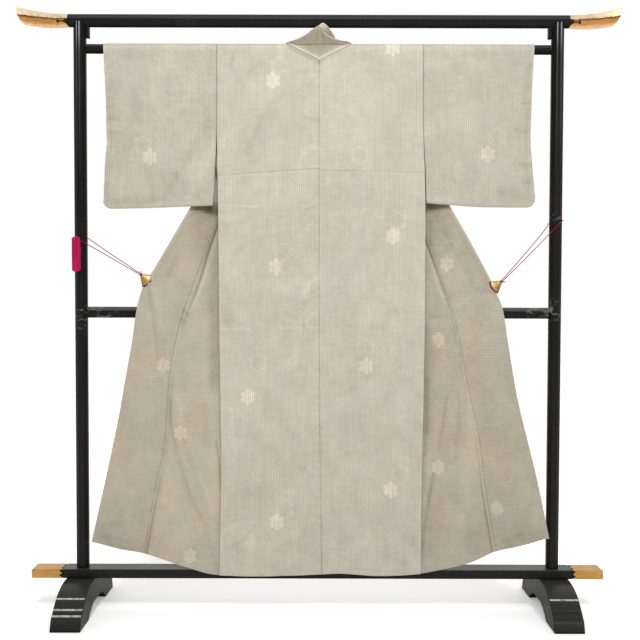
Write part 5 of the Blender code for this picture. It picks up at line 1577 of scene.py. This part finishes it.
def make_foot(side):
    sign = SIDES[side]
    half = foot_profile()
    outline = half + [(-y, z) for y, z in reversed(half[1:-1])]
    mesh = loft_mesh("lacquered_foot_" + side, [
        [(sign * POST_X + k * FOOT_WIDTH / 2, y, z) for y, z in outline] for k in (-1, 1)])
    item = place_in_scene("lacquered_foot_" + side, mesh, finish_of("lacquer"),
                          ["foot_" + side])
    round_edges(item, 0.0022, 3, 40, 50)
    ys, zs = zip(*half[:45])
    for end in (-1, 1):
        for number, height in enumerate(RIB_HEIGHTS):
            index = int(np.argmin([abs(z - height) for z in zs]))
            dy, dz = ys[index + 1] - ys[index - 1], zs[index + 1] - zs[index - 1]
            size = math.hypot(dy, dz)
            ty, tz = dy / size, dz / size
            ring = []
            for k in range(9):
                a = math.pi * k / 8
                swell, along = 0.0019 * math.sin(a) - 0.0004, 0.0034 * math.cos(a)
                ring.append((end * (ys[index] - tz * swell + ty * along),
                             zs[index] + ty * swell + tz * along))
            wide = FOOT_WIDTH / 2 - RIB_INSET
            mesh = loft_mesh("foot_rib", [
                [(sign * POST_X + k * wide, y, z) for y, z in ring] for k in (-1, 1)])
            # the ribs of the left foot, and the top rib of the right one, carry a painted
            # highlight
            place_in_scene("foot_rib_%s_%s_%d" % (side, "front" if end < 0 else "rear", number),
                           mesh, finish_of("painted_gleam" if side == "left" or number == 0
                                           else "lacquer"), sharp=CRISP)


# ---------------------------------------------------------------- clips and cords
def clip_plane(side):
    """The plane a clip lies in, fitted to the cloth below it: y from x, z and 1."""
    aim, (apex_x, apex_z) = math.radians(CLIPS[side]["aim"]), CLIPS[side]["apex"]
    rows, heights = [], []
    for along in (0.009, 0.018, 0.027, CLIP_RADIUS):
        for across in (-0.45, 0.0, 0.45):
            x = apex_x + along * math.cos(aim + across)
            z = apex_z + along * math.sin(aim + across)
            rows.append((x, z, 1.0))
            heights.append(float(far_y(side, SIDES[side] * x, z)))
    plane, *_ = np.linalg.lstsq(np.array(rows), np.array(heights), rcond=None)
    return plane


def make_clips():
    """Fan-shaped clips: two pleated plates with a rim darkened by painted shade, tied to their
    cord by a knot.
    """
    for side in SIDES:
        clip = CLIPS[side]
        aim, spread = math.radians(clip["aim"]), math.radians(clip["open"])
        apex_x, apex_z = clip["apex"]
        ux, uz = math.cos(aim), math.sin(aim)
        plane = clip_plane(side)
        low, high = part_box("clip_" + side)
        half = 0.5 * (high[1] - low[1]) - 0.0012

        def spot(along, step, out):
            """A place along the clip's middle line, to one side of it and out of its plane."""
            x, z = apex_x + along * ux - step * uz, apex_z + along * uz + step * ux
            return x, float(plane @ (x, z, 1.0)) + out, z

        places, tones, faces = [], [], []
        for face in (-1, 1):
            start = len(places)
            for r in CLIP_RINGS:
                blunt = 0.0026 * (1 - r / 0.036)
                for k in range(CLIP_RIBS):
                    turn = 1 - 2 * k / (CLIP_RIBS - 1)
                    rim = r > 0.0310 or abs(turn) > 0.86
                    ridge = math.cos(k * math.pi / 2)
                    reach = r * (1.0 - 0.015 * (1 - ridge) * (r > 0.0350))
                    out = half - 0.0012 if rim else half - 0.0005 + 0.0006 * ridge * min(
                        r / 0.02, 1.0)
                    places.append(spot(reach * math.cos(spread * turn) - blunt,
                                       reach * math.sin(spread * turn) + blunt * turn,
                                       face * out))
                    # painted light: paler toward the arc and on one side; painted shade on every
                    # other pleat and in the rim
                    bright = (r / 0.033) ** 1.8 * (0.55 + 0.45 * turn * (1, -1)[side == "right"])
                    tones.append(-1.0 if rim else bright - 0.30 * (k % 2))
            for i in range(len(CLIP_RINGS) - 1):
                for k in range(CLIP_RIBS - 1):
                    a = start + i * CLIP_RIBS + k
                    quad = (a, a + 1, a + CLIP_RIBS + 1, a + CLIP_RIBS)
                    faces.append(quad if face < 0 else quad[::-1])
        mesh = bpy.data.meshes.new("fan_clip_" + side)
        mesh.from_pydata(places, [], faces)
        point_values(mesh, "tone", tones)
        item = place_in_scene("fan_clip_" + side, mesh, finish_of("brass"),
                              ["clip_" + side], CRISP)
        thicken(item, 0.0009)
        # the pin that joins the two plates
        pin = [[spot(along, size * math.cos(a), 0.85 * half * math.sin(a))
                for a in (2 * math.pi * k / 20 for k in range(20))]
               for along, size in ((-0.0030, 0.0020), (-0.0024, 0.0026), (0.0040, 0.0030),
                                   (0.0062, 0.0024))]
        place_in_scene("clip_pin_" + side, loft_mesh("clip_pin_" + side, pin),
                       finish_of("brass"), sharp=CRISP)
        # the cord's knot, wound three times round the pin's end with a short tail
        knot = [spot(-0.0036 + 0.0036 * k / 48, 0.0034 * math.cos(2 * math.pi * k / 16),
                     (half + 0.0006) * math.sin(2 * math.pi * k / 16)) for k in range(49)]
        tail = [np.array(knot[0]) + np.array(step) for step in KNOT_TAILS[side]]
        cord_curve("cord_knot_" + side, tail + knot, ())


def smooth_route(route, steps):
    """A smooth line through every point of a route, with so many steps between two of them."""
    points = [np.array(p) for p in route]
    ends = [2 * points[0] - points[1]] + points + [2 * points[-1] - points[-2]]
    made = []
    for k in range(1, len(ends) - 2):
        p0, p1, p2, p3 = ends[k - 1:k + 3]
        for n in range(steps):
            t = n / steps
            made.append(0.5 * (2 * p1 + (p2 - p0) * t + (2 * p0 - 5 * p1 + 4 * p2 - p3) * t**2
                               + (3 * p1 - p0 - 3 * p2 + p3) * t**3))
    return made + [points[-1]]


def cord_curve(name, route, nodes, finish="cord", radius=CORD_RADIUS):
    curve = bpy.data.curves.new(name, "CURVE")
    curve.dimensions = "3D"
    curve.bevel_depth = radius
    curve.bevel_resolution = 2
    curve.use_fill_caps = True
    spline = curve.splines.new("POLY")
    spline.points.add(len(route) - 1)
    for point, place in zip(spline.points, route):
        point.co = (*place, 1.0)
    spline.use_smooth = True
    item = place_in_scene(name, curve, finish_of(finish), nodes)
    length = float(sum(np.linalg.norm(np.array(b) - np.array(a))
                       for a, b in zip(route, route[1:])))
    return item, length


def hank_route():
    """One long cord wound up and down round the hank, a turn beside the last."""
    middle_y = 0.5 * (HANK["near"] + HANK["far"])
    radius = 0.5 * (HANK["near"] - HANK["far"]) - CORD_RADIUS
    half = HANK["half"]
    # round one turn: out, up and how far from the upper to the lower end
    around = [(math.cos(a), math.sin(a), 0.0) for a in (math.pi * k / 6 for k in range(6))]
    around += [(-1.0, 0.0, k / 4) for k in range(4)]
    around += [(math.cos(a), math.sin(a), 1.0)
               for a in (math.pi * (1 + k / 6) for k in range(6))]
    around += [(1.0, 0.0, 1.0 - k / 4) for k in range(4)]
    points = []
    for number in range(HANK_TURNS * len(around)):
        out, up, down = around[number % len(around)]
        share = number / (HANK_TURNS * len(around))
        x = HANK["x"] - (half - CORD_RADIUS - 0.0002) * (1 - 2 * share)
        inset = 0.72 * (half - math.sqrt(max(half**2 - (x - HANK["x"]) ** 2, 0.0)))
        inset += CORD_RADIUS + radius
        high, low = HANK["top"] - inset, HANK["low"] + inset
        points.append((x, middle_y + radius * out, high + (low - high) * down + radius * up))
    return points


def make_cords():
    for side in SIDES:
        route = smooth_route(CORD_ROUTES[side], 6)
        item, length = cord_curve("silk_cord_" + side, route, ["cord_" + side])
    route = hank_route()
    item, length = cord_curve("silk_cord_hank", route, ["cord_hank"], "hank")


# ---------------------------------------------------------------- studio
def add_light(name, place, target, size, energy):
    light = bpy.data.lights.new(name, "AREA")
    light.shape = "RECTANGLE"
    light.size, light.size_y = size
    light.energy = energy
    item = new_object(name, light)
    item.location = place
    item.rotation_euler = (Vector(target) - Vector(place)).to_track_quat("-Z", "Y").to_euler()


CAMERA_PLACE = (0.0, -3.0, 0.9294)
CAMERA_DROP = 0.0372
CAMERA_ROLL = 0.14


def make_camera():
    data = bpy.data.cameras.new("camera")
    data.lens, data.sensor_width = 56.25, 36.0
    data.sensor_fit = "HORIZONTAL"
    data.shift_x, data.shift_y = 0.0031, 0.0300
    data.clip_start, data.clip_end = 0.05, 60.0
    data.dof.use_dof = False
    camera = new_object("camera", data)
    camera.matrix_world = (Matrix.Translation(CAMERA_PLACE)
                           @ Matrix.Rotation(math.radians(90.0) - math.atan(CAMERA_DROP), 4, "X")
                           @ Matrix.Rotation(math.radians(CAMERA_ROLL), 4, "Z"))
    bpy.context.scene.camera = camera


def stage_mesh(name, points, faces, finish):
    mesh = bpy.data.meshes.new(name)
    mesh.from_pydata(points, [], faces)
    mesh.materials.append(finish.material)
    item = new_object(name, mesh)
    return item


FLOOR_REACH = 30
WALL_RADIUS = 28
WALL_STEPS = 24


def make_studio():
    scene = bpy.context.scene
    scene.view_settings.view_transform = "Standard"
    scene.view_settings.look = "None"
    world = bpy.data.worlds.new("studio")
    scene.world = world
    world.use_nodes = True
    tree = world.node_tree
    backdrop = tree.nodes["Background"]
    backdrop.inputs["Strength"].default_value = 1.0
    _, depth, _ = node(tree, "ShaderNodeTexCoord", "Generated", {}).parts()
    put(tree, backdrop.inputs["Color"],
        depth.ease(-0.25, 0.40).mix((0.20, 0.20, 0.21), (1.0, 1.0, 1.0)))
    reach = FLOOR_REACH
    stage_mesh("floor", [(-reach, -reach, 0), (reach, -reach, 0), (reach, reach, 0),
                         (-reach, reach, 0)],
               [(0, 1, 2, 3)], Finish("pale_floor", (0.97, 0.97, 0.965), 0.9,
                                      Emission_Color=(1, 1, 1, 1), Emission_Strength=0.30))
    # a pale wall far round the front, which lights nothing
    rim = [(WALL_RADIUS * math.sin(a), -WALL_RADIUS * math.cos(a))
           for a in np.linspace(-1.9, 1.9, WALL_STEPS + 1)]
    wall = stage_mesh("far_wall", [(x, y, z) for z in (-0.5, 26.0) for x, y in rim],
                      [(k, k + 1, k + WALL_STEPS + 2, k + WALL_STEPS + 1)
                       for k in range(WALL_STEPS)],
                      Finish("pale_wall", (0.0, 0.0, 0.0), 1.0, Emission_Color=(1, 1, 1, 1),
                             Emission_Strength=1.0))
    wall.visible_diffuse = wall.visible_glossy = wall.visible_shadow = False
    sun = bpy.data.lights.new("key", "SUN")
    sun.energy, sun.angle = 1.02, math.radians(9)
    new_object("key", sun).rotation_euler = (math.radians(42), 0.0, math.radians(7))
    add_light("top", (0.0, -1.6, 2.9), (0.0, 0.0, 1.25), (1.2, 0.8), 18.5)
    add_light("fill", (1.4, -3.4, 1.9), (0.0, 0.0, 0.9), (1.4, 1.4), 6.0)


# ---------------------------------------------------------------- add-on
class KIMONO_OT_camera(bpy.types.Operator):
    """Sets the camera that looks at the garment's back"""

    bl_idname = "kimono.camera"
    bl_label = "Camera"

    def execute(self, context):
        make_camera()
        return {"FINISHED"}


class KIMONO_OT_cords(bpy.types.Operator):
    """Ties the silk cords to the posts and winds the hank"""

    bl_idname = "kimono.cords"
    bl_label = "Cords"

    def execute(self, context):
        make_cords()
        return {"FINISHED"}


class KIMONO_OT_clips(bpy.types.Operator):
    """Makes the fan-shaped brass clips"""

    bl_idname = "kimono.clips"
    bl_label = "Clips"

    def execute(self, context):
        make_clips()
        return {"FINISHED"}


class KIMONO_OT_backs(bpy.types.Operator):
    """Hangs the two back panels"""

    bl_idname = "kimono.backs"
    bl_label = "Back Panels"

    def execute(self, context):
        make_backs()
        return {"FINISHED"}


class KIMONO_OT_fronts(bpy.types.Operator):
    """Hangs the fronts and their overlap panels"""

    bl_idname = "kimono.fronts"
    bl_label = "Fronts and Overlaps"

    def execute(self, context):
        make_fronts()
        return {"FINISHED"}


class KIMONO_OT_collar(bpy.types.Operator):
    """Lays the collar round the neck and down the fronts"""

    bl_idname = "kimono.collar"
    bl_label = "Collar"

    def execute(self, context):
        make_collar()
        return {"FINISHED"}


class KIMONO_OT_sleeves(bpy.types.Operator):
    """Hangs the sleeves on the rod"""

    bl_idname = "kimono.sleeves"
    bl_label = "Sleeves"

    def execute(self, context):
        make_sleeves()
        return {"FINISHED"}


class KIMONO_OT_stand(bpy.types.Operator):
    """Lacquers and gilds the stand"""

    bl_idname = "kimono.stand"
    bl_label = "Stand"

    def execute(self, context):
        make_stand()
        return {"FINISHED"}


class KIMONO_OT_studio(bpy.types.Operator):
    """Sets the floor and the lights"""

    bl_idname = "kimono.studio"
    bl_label = "Studio"

    def execute(self, context):
        make_studio()
        return {"FINISHED"}


OPERATORS = (KIMONO_OT_camera, KIMONO_OT_cords, KIMONO_OT_clips, KIMONO_OT_backs,
             KIMONO_OT_fronts, KIMONO_OT_collar, KIMONO_OT_sleeves, KIMONO_OT_stand,
             KIMONO_OT_studio)
SETTINGS = (("kimono_silk", KimonoSilk), ("kimono_stand", KimonoStand),
            ("kimono_cords", KimonoCords))


class KIMONO_PT_panel(bpy.types.Panel):
    bl_label = "Kimono"
    bl_idname = "KIMONO_PT_panel"
    bl_space_type = "VIEW_3D"
    bl_region_type = "UI"
    bl_category = "Kimono"

    def draw(self, context):
        for name, group in SETTINGS:
            box = self.layout.box()
            box.label(text=name.replace("kimono_", "").title())
            for key in group.__annotations__:
                box.prop(getattr(context.scene, name), key)
        for operator in OPERATORS:
            self.layout.operator(operator.bl_idname)


def register():
    for name, group in SETTINGS:
        bpy.utils.register_class(group)
        setattr(bpy.types.Scene, name, bpy.props.PointerProperty(type=group))
    for item in (*OPERATORS, KIMONO_PT_panel):
        bpy.utils.register_class(item)


def unregister():
    for item in (KIMONO_PT_panel, *reversed(OPERATORS)):
        bpy.utils.unregister_class(item)
    for name, group in reversed(SETTINGS):
        delattr(bpy.types.Scene, name)
        bpy.utils.unregister_class(group)


def main():
    register()
    for step in ("camera", "cords", "clips", "backs", "fronts", "collar", "sleeves", "stand",
                 "studio"):
        getattr(bpy.ops.kimono, step)()


if __name__ == "__main__":
    main()
